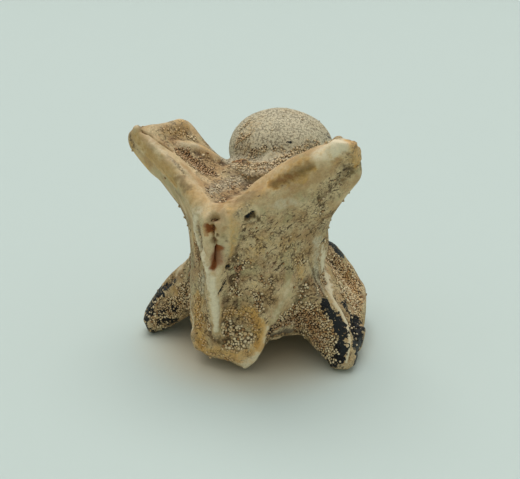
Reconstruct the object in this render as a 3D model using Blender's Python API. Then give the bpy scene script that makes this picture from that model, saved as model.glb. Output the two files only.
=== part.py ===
"""Trunk vertebra of an extinct sea snake: a weathered fossil about 22 mm tall, standing on its front end.

The bone is shaped in its own anatomical frame, in millimetres: X to the animal's left, Y from back to
belly and Z from head to tail, with the origin on the axis of the centrum. It is fused from its limbs,
hollowed and smoothed as one body, tipped into the pose in which it rests, and then parted with thin
cuts into the parts that an anatomist would name.
"""

import math
from functools import partial

import bmesh
import bpy
from mathutils import Matrix, Vector

MM = 0.001

# Centrum: the front cup (cotyle), the waist and the rear ball (condyle).
COTYLE_RADIUS = 5.7
COTYLE_Z = 2.8
CUP_RADIUS = 4.7
CUP_DEPTH = 3.3
WAIST_RADIUS = 4.7
NECK_RADIUS = 4.5
NECK_Z = 17.0
CONDYLE_RADIUS = 5.2
CONDYLE_RISE = 4.15
CONDYLE_Z = 20.0

# Neural canal, open at the front for this depth and filled beyond it.
CANAL_Y = -7.3
CANAL_RADIUS = 1.9
CANAL_END_RADIUS = 1.52
CANAL_DEPTH = 4.5
CANAL_OVERSHOOT = 2.0

# The angles between which the tail end leans towards the belly side when the bone rests on its two
# front feet and on its cup's lip, and the depth of the flats that it rests on.
LEAST_LEAN = math.radians(2.0)
MOST_LEAN = math.radians(10.0)
LEAN_HALVINGS = 30
FLAT_DEPTH = 0.14

# Fineness of the fused surface, and the width of the cuts between named parts.
VOXEL = 0.24
SMOOTHING_FACTOR = 0.5
SMOOTHING_PASSES = 4
TRIANGLES = 8200
CUT = 0.3

# Named lines along one side of the neural arch, from its front edge to the root of the wing at its rear.
# The inner three cross the middle, so that the two sides fuse.
CREST = [(-1.0, -12.0, 4.2), (-1.0, -13.2, 8.0), (-1.0, -14.2, 12.5), (0.5, -15.5, 16.1), (4.5, -13.4, 19.1)]
SHOULDER = [(3.3, -11.4, 4.2), (3.5, -11.7, 8.0), (3.6, -12.1, 12.3), (4.4, -12.2, 15.4), (7.2, -11.4, 17.9)]
FLANK = [(5.4, -8.4, 4.2), (6.0, -7.4, 8.0), (6.8, -6.5, 11.9), (7.1, -7.6, 14.2), (8.6, -8.8, 16.6)]
FOOT = [(5.0, -4.2, 3.8), (5.4, -3.8, 8.0), (5.8, -3.6, 11.7), (6.0, -4.8, 14.6), (7.2, -6.4, 17.2)]
REAR = [(-1.0, -4.0, 3.8), (-1.0, -3.6, 8.0), (-1.0, -3.6, 12.5), (-1.0, -4.2, 16.8), (4.4, -5.0, 19.6)]
VALLEY = [(-1.0, -8.0, 4.0), (-1.0, -8.0, 8.0), (-1.0, -8.4, 12.5), (-1.0, -9.6, 16.2), (4.0, -9.6, 18.7)]
ARCH_LINES = (CREST, SHOULDER, FLANK, FOOT, REAR, VALLEY)

# Where each line ends at the tip of the left (1) and the right (-1) wing, which are worn differently.
LEFT_TIP = [
    (9.7, -11.4, 22.6), (10.6, -10.4, 22.0), (10.7, -9.1, 19.7),
    (9.6, -6.9, 19.6), (7.5, -5.6, 22.6), (8.4, -8.8, 22.4),
]
RIGHT_TIP = [
    (9.6, -11.8, 22.5), (10.9, -10.8, 21.6), (11.2, -9.5, 20.3),
    (9.6, -6.9, 20.2), (7.5, -5.6, 23.0), (8.4, -8.8, 22.3),
]
WING_TIPS = {1: LEFT_TIP, -1: RIGHT_TIP}

# The animal's right side is a little narrower than its left at the waist and at the root of the wing.
# Each narrowing is a share of the width, the height at which it is strongest and how far it reaches.
NARROWINGS = ((0.92, 11.9, 5.6), (0.95, 17.0, 2.2))

# Steps from line to line round the arch, and from station to station along it and along a limb.
RING_STEPS = 4
SPAN_STEPS = 6

# Sides of round sections, the angles of the rings that round off a limb's end, and a blunt end's reach.
LIMB_SIDES = 24
CENTRUM_SIDES = 40
BOWL_SIDES = 48
CAP_ANGLES = (30, 55, 75)
BLUNT_REACH = 0.5
SLOPE_STEP = 0.01
BALL_SUBDIVISIONS = 4

# Limbs as stations of (place, half width, half thickness), for the left side where there are two.
CENTRUM = [
    ((0.0, 0.0, 3.3), COTYLE_RADIUS, COTYLE_RADIUS - 0.1),
    ((0.0, 0.0, 6.0), 5.35, 5.25),
    ((0.0, 0.1, 11.0), WAIST_RADIUS, WAIST_RADIUS),
    ((0.0, 0.0, NECK_Z), NECK_RADIUS, NECK_RADIUS),
]
SPINE = [
    ((-0.4, -12.6, 5.0), 0.6, 0.9),
    ((-0.3, -13.8, 8.5), 0.75, 1.0),
    ((-0.1, -14.3, 12.5), 1.0, 1.1),
    ((-0.1, -14.8, 15.9), 1.3, 1.2),
]
TONGUE = [
    ((0.0, -11.2, 7.5), 3.9, 1.1),
    ((-0.1, -11.3, 5.2), 3.8, 1.1),
    ((0.1, -11.4, 3.6), 3.45, 1.0),
    ((0.2, -11.5, 2.6), 3.1, 0.9),
]
TONGUE_TIP = [
    ((1.6, -11.5, 3.6), 1.7, 0.9),
    ((1.7, -11.6, 2.4), 1.1, 0.8),
]
LEG = [
    ((4.6, -6.9, 8.4), 2.2, 1.6),
    ((6.6, -7.1, 6.3), 2.3, 1.5),
    ((8.4, -7.3, 4.4), 1.95, 1.35),
    ((9.7, -7.6, 2.9), 1.5, 1.15),
]
BUTTRESS = [
    ((9.9, -6.6, 3.5), 1.0, 1.1),
    ((9.5, -4.4, 4.2), 1.1, 1.3),
    ((8.5, -1.8, 5.3), 1.3, 1.8),
    ((7.4, 0.8, 6.1), 1.5, 2.2),
]
BUTTRESS_FLAT = (1.0, 0.0, 0.4)
WEB = [
    ((4.2, -3.2, 8.4), 2.4, 2.8),
    ((6.6, -3.2, 6.7), 2.1, 2.9),
    ((8.6, -3.8, 5.0), 1.5, 3.0),
]
SYNAPOPHYSIS = [
    ((4.4, 0.4, 8.8), 2.8, 2.4),
    ((6.4, 1.3, 7.2), 2.1, 2.0),
    ((7.5, 2.4, 5.7), 1.5, 1.4),
]
PEDICLE = [
    ((3.7, -3.4, 5.4), 2.1, 1.8),
    ((3.9, -3.6, 10.0), 2.2, 1.7),
    ((3.7, -4.4, 14.4), 2.1, 1.6),
]
LEFT_WING_RIM = [
    ((2.6, -12.5, 18.0), 0.8, 0.8),
    ((4.5, -11.8, 19.1), 1.15, 1.15),
    ((6.2, -11.3, 20.1), 1.2, 1.2),
    ((7.6, -11.0, 20.9), 1.2, 1.2),
    ((8.8, -10.6, 21.5), 1.1, 1.1),
]
SEDIMENT = [
    ((-3.8, -4.2, 18.4), 0.8, 1.2),
    ((-1.6, -5.1, 18.4), 1.0, 1.5),
    ((1.2, -5.3, 18.5), 1.1, 1.5),
    ((3.6, -4.6, 18.8), 1.0, 1.3),
]
KEEL = [
    ((0.0, 4.3, 4.6), 0.9, 1.3),
    ((0.0, 4.5, 8.0), 0.6, 0.8),
    ((0.0, 4.5, 12.0), 0.7, 0.9),
    ((0.0, 5.1, 15.4), 1.1, 1.5),
]

# Places of the cuts between the named parts.
WING_CUT_PLACE = (3.7, 0.0, 18.7)
WING_CUT_OUTWARD = (0.8, 0.0, 0.6)
WING_CUT_REAR = -4.2
LEG_CUT_PLACE = (5.7, 0.0, 2.0)
LEG_CUT_OUTWARD = (0.978, 0.0, -0.207)
LEG_CUT_HEIGHT = 10.2
LEG_CUT_REAR = -4.0
TONGUE_CUT_Y = -9.6
TONGUE_CUT_Z = 5.2
SPINE_CUT_LOW = (-0.15, -12.6, 5.4)
SPINE_CUT_HIGH = (-0.15, -14.6, 16.8)
SPINE_CUT_HALF_WIDTH = 1.45
CONDYLE_CUT_Z = 17.35
CONDYLE_CUT_RADIUS = 5.5
CONDYLE_CUT_TOP_RADIUS = 5.9
CONDYLE_CUT_FLARE = 1.2
ARCH_CUT_Y = -4.3
KEEL_CUT_LOW = (-2.5, 5.0, 12.0)
FAR = 40.0

BONE = (0.52, 0.40, 0.25, 1.0)
STAINED = (0.58, 0.36, 0.13, 1.0)
PALE = (0.66, 0.56, 0.38, 1.0)
SPECKLED = (0.38, 0.28, 0.17, 1.0)
BONE_ROUGHNESS = 0.75


def clear_scene():
    """Removes every object of the startup scene."""
    for obj in list(bpy.data.objects):
        bpy.data.objects.remove(obj)


def linked(name, bm):
    """An object of the bmesh, whose millimetres become metres and whose faces point out."""
    bm.normal_update()
    bmesh.ops.recalc_face_normals(bm, faces=bm.faces)
    bm.transform(Matrix.Scale(MM, 4))
    mesh = bpy.data.meshes.new(name)
    bm.to_mesh(mesh)
    bm.free()
    obj = bpy.data.objects.new(name, mesh)
    bpy.context.scene.collection.objects.link(obj)
    return obj


def on_side(points, side):
    """The points on the animal's left (1) or mirrored to its right (-1)."""
    return [(side * x, y, z) for x, y, z in points]


def curve_point(points, share, closed=False):
    """The point at a share of the way along the smooth curve through the points."""
    spans = len(points) if closed else len(points) - 1
    place = share * spans
    first = min(int(place), spans - 1)
    t = place - first
    numbers = (first + k for k in (-1, 0, 1, 2))
    if closed:
        near = [Vector(points[n % len(points)]) for n in numbers]
    else:
        near = [Vector(points[min(max(n, 0), len(points) - 1)]) for n in numbers]
    before, start, end, after = near
    slope = (end - before) * t
    bend = (2 * before - 5 * start + 4 * end - after) * t ** 2
    twist = (3 * start - before - 3 * end + after) * t ** 3
    return start + 0.5 * (slope + bend + twist)


def loft(name, rings):
    """A closed body through rings of points, with a fan over each end."""
    bm = bmesh.new()
    rows = [[bm.verts.new(point) for point in ring] for ring in rings]
    count = len(rows[0])
    for low, high in zip(rows, rows[1:]):
        for i in range(count):
            j = (i + 1) % count
            bm.faces.new((low[i], low[j], high[j], high[i]))
    for row in (rows[0], rows[-1]):
        middle = bm.verts.new(sum((v.co for v in row), Vector()) / count)
        for i in range(count):
            bm.faces.new((row[i], row[(i + 1) % count], middle))
    return linked(name, bm)


def narrowed(point, side):
    """The point of the neural arch, drawn in where the animal's right side is narrower."""
    x, y, z = point
    if side < 0 and x > 0:
        for share, height, reach in NARROWINGS:
            x *= 1 - (1 - share) * math.exp(-((z - height) / reach) ** 2)
    return side * x, y, z


def arch_side(name, side):
    """One half of the neural arch with its wing, lofted along its six named lines."""
    lines = []
    for line, tip in zip(ARCH_LINES, WING_TIPS[side]):
        lines.append([narrowed(point, side) for point in line + [tip]])
    spans = SPAN_STEPS * len(CREST)
    around = RING_STEPS * len(lines)
    rings = []
    for i in range(spans + 1):
        corners = [curve_point(line, i / spans) for line in lines]
        rings.append([curve_point(corners, k / around, closed=True) for k in range(around)])
    return loft(name, rings)


def limb(name, stations, flat=(0.0, 1.0, 0.0), side=1, reach=None, count=LIMB_SIDES):
    """A limb of oval sections through its stations, with ends that round off over the given reach.

    The thickness is measured along the flat direction, and the width across it.
    """
    places = on_side([place for place, _, _ in stations], side)
    sizes = [(width, thickness, 0.0) for _, width, thickness in stations]
    spans = SPAN_STEPS * (len(stations) - 1)
    turns = [2 * math.pi * k / count for k in range(count)]
    rings = []
    for i in range(spans + 1):
        share = i / spans
        centre = curve_point(places, share)
        ahead, behind = min(1.0, share + SLOPE_STEP), max(0.0, share - SLOPE_STEP)
        along = curve_point(places, ahead) - curve_point(places, behind)
        along.normalize()
        up = Vector(flat) - along * along.dot(Vector(flat))
        up.normalize()
        across = up.cross(along)
        width, thickness, _ = curve_point(sizes, share)
        spokes = [across * width * math.cos(a) + up * thickness * math.sin(a) for a in turns]
        rings.append((centre, along, spokes))
    solid = [[centre + spoke for spoke in spokes] for centre, _, spokes in rings]
    for (centre, along, spokes), step in ((rings[0], -1), (rings[-1], 1)):
        length = min(spoke.length for spoke in spokes) if reach is None else reach
        for angle in CAP_ANGLES:
            a = math.radians(angle)
            tip = centre + along * step * length * math.sin(a)
            cap = [tip + spoke * math.cos(a) for spoke in spokes]
            if step < 0:
                solid.insert(0, cap)
            else:
                solid.append(cap)
    return loft(name, solid)


def ellipsoid(name, centre, radii):
    """A closed ellipsoid."""
    bm = bmesh.new()
    bmesh.ops.create_icosphere(bm, subdivisions=BALL_SUBDIVISIONS, radius=1.0)
    bm.transform(Matrix.Translation(centre) @ Matrix.Diagonal((*radii, 1.0)))
    return linked(name, bm)


def block(name, low, high, place=(0.0, 0.0, 0.0), facing=(1.0, 0.0, 0.0), side=1):
    """A box between two corners of its own frame, whose X axis then faces that way from that place.

    For side -1 it is mirrored to the animal's right.
    """
    bm = bmesh.new()
    bmesh.ops.create_cube(bm, size=1.0)
    low, high = Vector(low), Vector(high)
    bm.transform(Matrix.Translation((low + high) / 2) @ Matrix.Diagonal((*(high - low), 1.0)))
    x_axis = Vector(facing).normalized()
    y_axis = Vector((0.0, 1.0, 0.0)) - x_axis * x_axis.y
    y_axis.normalize()
    turn = Matrix((x_axis, y_axis, x_axis.cross(y_axis))).transposed().to_4x4()
    bm.transform(Matrix.Translation(place) @ turn)
    bm.transform(Matrix.Scale(side, 4, (1.0, 0.0, 0.0)))
    return linked(name, bm)


def settle(obj):
    """Applies the object's modifiers to its mesh."""
    graph = bpy.context.evaluated_depsgraph_get()
    mesh = bpy.data.meshes.new_from_object(obj.evaluated_get(graph))
    obj.modifiers.clear()
    obj.data = mesh


def combine(obj, others, operation, solver="EXACT"):
    """Applies a Boolean of the object with each of the others, and removes those."""
    collection = bpy.data.collections.new("operands")
    for other in others:
        collection.objects.link(other)
    boolean = obj.modifiers.new("combine", "BOOLEAN")
    boolean.operation = operation
    boolean.solver = solver
    boolean.operand_type = "COLLECTION"
    boolean.collection = collection
    settle(obj)
    for other in others:
        bpy.data.objects.remove(other)
    bpy.data.collections.remove(collection)


def keep_largest(obj):
    """Keeps only the mesh's largest closed surface."""
    bm = bmesh.new()
    bm.from_mesh(obj.data)
    left = set(bm.faces)
    shells = []
    while left:
        shell, edge = set(), {left.pop()}
        while edge:
            shell |= edge
            near = {other for face in edge for side in face.edges for other in side.link_faces}
            edge = near - shell
        left -= shell
        shells.append(shell)
    largest = max(shells, key=lambda shell: sum(face.calc_area() for face in shell))
    loose = [face for shell in shells if shell is not largest for face in shell]
    bmesh.ops.delete(bm, geom=loose, context="FACES")
    bm.to_mesh(obj.data)
    bm.free()


def whole_bone():
    """The bone as one smooth body, in the anatomical frame."""
    bone = limb("bone", CENTRUM, reach=BLUNT_REACH, count=CENTRUM_SIDES)
    pieces = [
        ellipsoid("condyle", (0.0, 0.0, CONDYLE_Z), (CONDYLE_RADIUS, CONDYLE_RADIUS, CONDYLE_RISE)),
        limb("spine", SPINE),
        limb("tongue", TONGUE, reach=BLUNT_REACH),
        limb("tongue_tip", TONGUE_TIP),
        limb("keel", KEEL),
        limb("left_wing_rim", LEFT_WING_RIM),
        limb("sediment", SEDIMENT),
    ]
    for side in (1, -1):
        pieces.append(arch_side("arch", side))
        pieces.append(limb("leg", LEG, side=side))
        pieces.append(limb("buttress", BUTTRESS, BUTTRESS_FLAT, side))
        pieces.append(limb("web", WEB, side=side))
        pieces.append(limb("synapophysis", SYNAPOPHYSIS, side=side))
        pieces.append(limb("pedicle", PEDICLE, side=side))
    combine(bone, pieces, "UNION")
    cup = ellipsoid("cup", (0.0, 0.0, COTYLE_Z), (CUP_RADIUS, CUP_RADIUS, CUP_DEPTH))
    canal_run = [
        ((0.0, CANAL_Y, COTYLE_Z - CANAL_OVERSHOOT), CANAL_RADIUS, CANAL_RADIUS),
        ((0.0, CANAL_Y, COTYLE_Z + CANAL_DEPTH), CANAL_END_RADIUS, CANAL_END_RADIUS),
    ]
    combine(bone, [cup, limb("canal", canal_run)], "DIFFERENCE")
    remesh = bone.modifiers.new("fuse", "REMESH")
    remesh.mode = "VOXEL"
    remesh.voxel_size = VOXEL * MM
    smooth = bone.modifiers.new("soften", "SMOOTH")
    smooth.factor = SMOOTHING_FACTOR
    smooth.iterations = SMOOTHING_PASSES
    settle(bone)
    keep_largest(bone)
    thin = bone.modifiers.new("thin", "DECIMATE")
    thin.ratio = TRIANGLES / (2 * len(bone.data.polygons))
    settle(bone)
    return bone


def rest_pose(bone):
    """The matrix that stands the bone on its two feet and the lip of its cup, all at one level.

    The centre of the bone's box then lies over the origin.
    """
    points = [vertex.co / MM for vertex in bone.data.vertices]
    feet = [p for p in points if p.y < LEG_CUT_REAR and abs(p.x) > COTYLE_RADIUS]
    lip = [p for p in points if p.y > 0 and abs(p.x) < COTYLE_RADIUS]
    low, high = LEAST_LEAN, MOST_LEAN
    for _ in range(LEAN_HALVINGS):
        lean = (low + high) / 2
        turn = Matrix.Rotation(-lean, 3, "X")
        if min((turn @ p).z for p in feet) < min((turn @ p).z for p in lip):
            low = lean
        else:
            high = lean
    posed = [turn @ p for p in points]
    middle_x, middle_y = ((min(p[k] for p in posed) + max(p[k] for p in posed)) / 2 for k in (0, 1))
    floor = min(p.z for p in posed) + FLAT_DEPTH
    return Matrix.Translation(Vector((-middle_x, -middle_y, -floor)) * MM) @ turn.to_4x4()


def wing_region(side, grow):
    """All that lies past the root of one wing."""
    low, high = (-grow, -FAR, -FAR), (FAR, WING_CUT_REAR + grow, FAR)
    return block("wing_region", low, high, WING_CUT_PLACE, WING_CUT_OUTWARD, side)


def leg_region(side, rear, grow):
    """All that lies outward of the root of one leg, as far back as the given place on Y."""
    low, high = (-grow, -FAR, -FAR), (FAR, rear + grow, LEG_CUT_HEIGHT)
    return block("leg_region", low, high, LEG_CUT_PLACE, LEG_CUT_OUTWARD, side)


def tongue_region(grow):
    """The shelf in front of the neural arch's roof."""
    return block("tongue_region", (-FAR, -FAR, -FAR), (FAR, TONGUE_CUT_Y + grow, TONGUE_CUT_Z + grow))


def spine_region(grow):
    """The ridge along the top of the neural arch."""
    rise = Vector(SPINE_CUT_HIGH) - Vector(SPINE_CUT_LOW)
    half, length = SPINE_CUT_HALF_WIDTH + grow, rise.length + FAR
    bm = bmesh.new()
    bmesh.ops.create_cube(bm, size=1.0)
    low, high = Vector((-half, -FAR, -grow)), Vector((half, grow, length))
    bm.transform(Matrix.Translation((low + high) / 2) @ Matrix.Diagonal((*(high - low), 1.0)))
    tilt = math.atan2(-rise.y, rise.z)
    bm.transform(Matrix.Translation(SPINE_CUT_LOW) @ Matrix.Rotation(tilt, 4, "X"))
    return linked("spine_region", bm)


def condyle_region(grow):
    """A bowl round the ball, with a flat floor through its neck."""
    levels = (
        (CONDYLE_CUT_RADIUS + grow, CONDYLE_CUT_Z - grow),
        (CONDYLE_CUT_TOP_RADIUS + grow, CONDYLE_CUT_Z + CONDYLE_CUT_FLARE),
        (CONDYLE_CUT_TOP_RADIUS + grow, FAR),
    )
    turns = [2 * math.pi * k / BOWL_SIDES for k in range(BOWL_SIDES)]
    rings = []
    for radius, z in levels:
        rings.append([Vector((radius * math.cos(a), radius * math.sin(a), z)) for a in turns])
    return loft("condyle_region", rings)


def arch_region(grow):
    """All that lies behind the canal's floor."""
    return block("arch_region", (-FAR, -FAR, -FAR), (FAR, ARCH_CUT_Y + grow, FAR))


def keel_region(grow):
    """The knob at the rear end of the keel."""
    x, y, z = KEEL_CUT_LOW
    return block("keel_region", (x - grow, y - grow, z - grow), (-x + grow, FAR, FAR))


def regions():
    """The named parts in the order in which they are cut, each as its name, colour and region."""
    parts = [("condyle", BONE, condyle_region)]
    for side, word in ((1, "left"), (-1, "right")):
        wing = partial(wing_region, side)
        leg = partial(leg_region, side, LEG_CUT_REAR)
        facet = partial(leg_region, side, FAR)
        parts.append((f"postzygapophysis_{word}", BONE, wing))
        parts.append((f"prezygapophysis_{word}", SPECKLED, leg))
        parts.append((f"synapophysis_{word}", BONE, facet))
    parts.append(("zygosphene", STAINED, tongue_region))
    parts.append(("neural_spine", PALE, spine_region))
    parts.append(("neural_arch", BONE, arch_region))
    parts.append(("hypapophysis", PALE, keel_region))
    return parts


def finish_part(obj, colour, pose):
    """Gives a part its material and shading, and puts it in the pose."""
    keep_largest(obj)
    obj.data.transform(pose)
    material = bpy.data.materials.new(obj.name)
    material.use_nodes = True
    shader = material.node_tree.nodes["Principled BSDF"]
    shader.inputs["Base Color"].default_value = colour
    shader.inputs["Roughness"].default_value = BONE_ROUGHNESS
    obj.data.materials.clear()
    obj.data.materials.append(material)
    obj.data.shade_smooth()


def main():
    """Builds the bone, finds how it rests, and parts it.

    The parting uses the manifold solver, because the exact one leaves doubled edges where two cuts meet.
    """
    clear_scene()
    rest = whole_bone()
    pose = rest_pose(rest)
    floor = block("floor", (-FAR, -FAR, -FAR), (FAR, FAR, 0.0))
    floor.data.transform(pose.inverted())
    combine(rest, [floor], "DIFFERENCE", "MANIFOLD")
    for name, colour, region in regions():
        part = rest.copy()
        part.data = rest.data.copy()
        part.name = name
        bpy.context.scene.collection.objects.link(part)
        combine(part, [region(0.0)], "INTERSECT", "MANIFOLD")
        combine(rest, [region(CUT)], "DIFFERENCE", "MANIFOLD")
        finish_part(part, colour, pose)
    rest.name = "centrum"
    finish_part(rest, BONE, pose)


main()
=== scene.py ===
"""The looks of a weathered fossil sea snake vertebra, 22 mm across, that stands on its front end.

One fine skin of bone stands for the frame's named parts, so that no seam shows. Relief and stains are laid on it
by strokes, each a short path over the bone, and grains of the sediment that it lay in still cling to it. Sizes are
in millimetres. A stroke's path is given in pixels of the 520 by 479 photograph, and is laid on the bone itself.
"""

import logging
import math
from collections import defaultdict
from dataclasses import dataclass
from enum import Enum
from functools import partial

import bpy
import numpy as np
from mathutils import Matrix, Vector, noise
from mathutils.bvhtree import BVHTree


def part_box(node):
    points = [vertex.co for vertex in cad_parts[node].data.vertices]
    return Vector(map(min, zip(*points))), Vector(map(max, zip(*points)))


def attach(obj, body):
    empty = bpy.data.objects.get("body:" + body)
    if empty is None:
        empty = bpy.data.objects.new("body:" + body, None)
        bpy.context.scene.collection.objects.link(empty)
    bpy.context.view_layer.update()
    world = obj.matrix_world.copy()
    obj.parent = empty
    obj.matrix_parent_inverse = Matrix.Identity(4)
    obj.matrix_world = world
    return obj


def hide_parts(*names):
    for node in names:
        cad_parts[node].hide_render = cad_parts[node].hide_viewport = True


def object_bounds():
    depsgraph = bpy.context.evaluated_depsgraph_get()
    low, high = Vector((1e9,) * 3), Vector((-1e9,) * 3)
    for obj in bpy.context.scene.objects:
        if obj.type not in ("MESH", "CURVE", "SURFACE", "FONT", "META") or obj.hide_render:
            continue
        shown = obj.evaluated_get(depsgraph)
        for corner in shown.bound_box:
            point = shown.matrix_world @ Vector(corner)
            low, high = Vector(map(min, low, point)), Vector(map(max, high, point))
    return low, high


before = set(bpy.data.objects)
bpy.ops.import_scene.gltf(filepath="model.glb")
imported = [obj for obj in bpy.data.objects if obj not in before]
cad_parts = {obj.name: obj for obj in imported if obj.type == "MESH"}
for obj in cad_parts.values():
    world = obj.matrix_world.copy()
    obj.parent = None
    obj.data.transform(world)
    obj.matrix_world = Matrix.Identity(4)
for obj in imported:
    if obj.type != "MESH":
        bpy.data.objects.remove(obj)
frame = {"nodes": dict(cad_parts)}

MM = 0.001
BODY = "root"
TINY = 1e-12
LOG = logging.getLogger("vertebra")

Path = tuple[tuple[float, float, float], ...]
Colour = tuple[float, float, float, float]
Span = tuple[float, float]
Numbers = tuple[float, ...]
Array = np.ndarray
Socket = bpy.types.NodeSocket


class Layer(Enum):
    """What a stroke lays on the bone. The first three shape it, and the others are kept as attributes."""

    FILL = "fill"
    RELIEF = "relief"
    SMOOTH = "smooth"
    CREAM = "cream"
    OCHRE = "ochre"
    UMBER = "umber"
    RUST = "rust"
    TAR = "tar"
    ASH = "ash"
    GRIT = "grit"
    COARSE = "coarse"


@dataclass(frozen=True)
class Stroke:
    """One mark on the bone, along a path of (pixel across, pixel down, radius in millimetres).

    The amount is a rise in millimetres for relief, the share of a hollow that is filled or of a bump that is
    smoothed, and a strength from 0 to 1 for a stain. A negative strength wipes the stain away. The fade is the
    share of the radius over which the mark ends, and the wobble is how ragged its edge is.
    """

    layer: Layer
    amount: float
    path: Path
    fade: float = 0.6
    wobble: float = 0.35


@dataclass(frozen=True)
class Region:
    """One region of the bone with the marks that it bears."""

    name: str
    strokes: tuple[Stroke, ...]


# One maker of strokes for each layer, in the order of the layers.
FILL, RELIEF, SMOOTH, CREAM, OCHRE, UMBER, RUST, TAR, ASH, GRIT, COARSE = (
    partial(Stroke, layer) for layer in Layer
)


SPINE_HOLE = ((219, 251, 0.6), (216, 259, 0.85), (213, 267, 0.5))
SPINE_SLIT = ((226, 282, 0.13), (219, 294, 0.15))
BROKEN_SPINE = Region("broken spine", (
    GRIT(-1.0, ((198, 208, 1.0), (212, 212, 1.6), (212, 240, 1.3), (214, 270, 1.0), (217, 332, 0.6)), 0.5),
    GRIT(-0.9, ((228, 212, 1.0), (232, 232, 1.0), (230, 252, 0.8)), 0.8),
    SMOOTH(0.75, ((199, 207, 1.3), (212, 208, 1.3), (226, 209, 1.3)), 1.0, 0.0),
    SMOOTH(0.5, ((230, 220, 0.9), (231, 240, 0.9), (228, 262, 0.7)), 1.0, 0.0),
    RELIEF(0.3, ((196, 212, 0.8), (198, 230, 0.7), (203, 252, 0.45), (208, 270, 0.35)), 1.0, 0.2),
    RELIEF(0.38, ((226, 212, 0.9), (228, 228, 0.85), (227, 248, 0.7), (222, 264, 0.45)), 1.0, 0.2),
    RELIEF(0.22, ((235, 212, 0.8), (237, 228, 0.7), (234, 244, 0.4)), 1.0, 0.2),
    RELIEF(-0.4, ((212, 214, 0.5), (211, 230, 0.7), (214, 246, 0.6), (216, 262, 0.45)), 1.0, 0.3),
    RELIEF(-0.7, ((211, 218, 0.42), (216, 219, 0.5)), 0.9, 0.4),
    RELIEF(-0.6, ((207, 230, 0.5), (211, 232, 0.62)), 0.9, 0.4),
    RELIEF(-0.3, ((218, 236, 0.22),), 1.0, 0.2),
    RELIEF(-0.4, ((211, 242, 0.45), (216, 243, 0.42)), 0.9, 0.4),
    RELIEF(-0.6, SPINE_HOLE, 0.8, 0.15),
    RELIEF(0.14, ((211, 280, 0.75), (215, 304, 0.55), (217, 330, 0.4)), 1.0, 0.1),
    RELIEF(-0.35, ((228, 267, 0.34),), 0.8, 0.3),
    RELIEF(-0.35, SPINE_SLIT, 0.8, 0.1),
    RELIEF(-0.4, ((248, 218, 0.32), (253, 215, 0.42)), 0.8, 0.4),
    CREAM(0.9, ((197, 210, 0.9), (198, 230, 0.8), (204, 252, 0.5), (208, 270, 0.5)), 1.0, 0.6),
    CREAM(0.4, ((226, 210, 0.9), (227, 228, 0.7), (224, 250, 0.5), (216, 276, 0.6)), 1.0, 0.6),
    ASH(0.6, ((207, 266, 0.5), (212, 282, 0.8), (216, 306, 0.65), (217, 331, 0.4)), 0.8),
    CREAM(0.8, ((212, 278, 0.6), (214, 304, 0.5), (216, 330, 0.4)), 0.8, 0.8),
    GRIT(0.6, ((236, 256, 0.6), (240, 262, 0.6)), 0.9, 0.6),
    OCHRE(0.5, ((230, 210, 1.1), (232, 230, 1.1), (230, 252, 0.8)), 1.0),
    CREAM(0.2, ((234, 222, 0.9), (237, 236, 0.8)), 1.0, 0.6),
    OCHRE(0.35, ((212, 274, 0.5),), 1.0),
    UMBER(0.6, ((212, 214, 0.6), (211, 228, 0.75), (214, 246, 0.6), (217, 258, 0.6)), 1.0, 0.5),
    UMBER(1.0, ((211, 218, 0.45), (216, 219, 0.5)), 0.8, 0.5),
    RUST(0.5, ((212, 219, 0.3), (216, 220, 0.3)), 0.9, 0.5),
    OCHRE(1.0, ((206, 230, 0.7), (210, 232, 0.8)), 0.9, 0.6),
    RUST(0.95, ((206, 230, 0.7), (210, 232, 0.75)), 1.0, 0.8),
    UMBER(0.9, ((205, 227, 0.35), (212, 231, 0.4), (213, 235, 0.4)), 0.9, 0.7),
    UMBER(0.6, ((208, 231, 0.55),), 0.9, 0.7),
    GRIT(0.9, ((211, 219, 0.34), (216, 219, 0.36)), 0.9, 0.3),
    GRIT(0.8, ((211, 230, 0.26), (212, 234, 0.26)), 0.9, 0.3),
    UMBER(0.9, ((218, 236, 0.24),), 0.9),
    RUST(0.5, ((212, 242, 0.5), (216, 243, 0.4)), 0.9),
    UMBER(0.8, ((211, 242, 0.5), (216, 244, 0.45)), 1.0, 0.5),
    RUST(1.0, SPINE_HOLE, 0.6),
    UMBER(0.9, ((221, 249, 0.35), (220, 257, 0.32)), 0.8, 0.5),
    UMBER(1.0, ((228, 267, 0.42),), 0.9, 0.5),
    TAR(0.8, ((228, 267, 0.3),), 0.8, 0.5),
    TAR(1.0, SPINE_SLIT, 0.5, 0.1),
    UMBER(1.0, ((247, 219, 0.4), (253, 215, 0.45), (263, 223, 0.2)), 0.8, 0.5),
    TAR(0.65, ((249, 218, 0.25), (253, 214, 0.32)), 0.8, 0.6),
))

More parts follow.
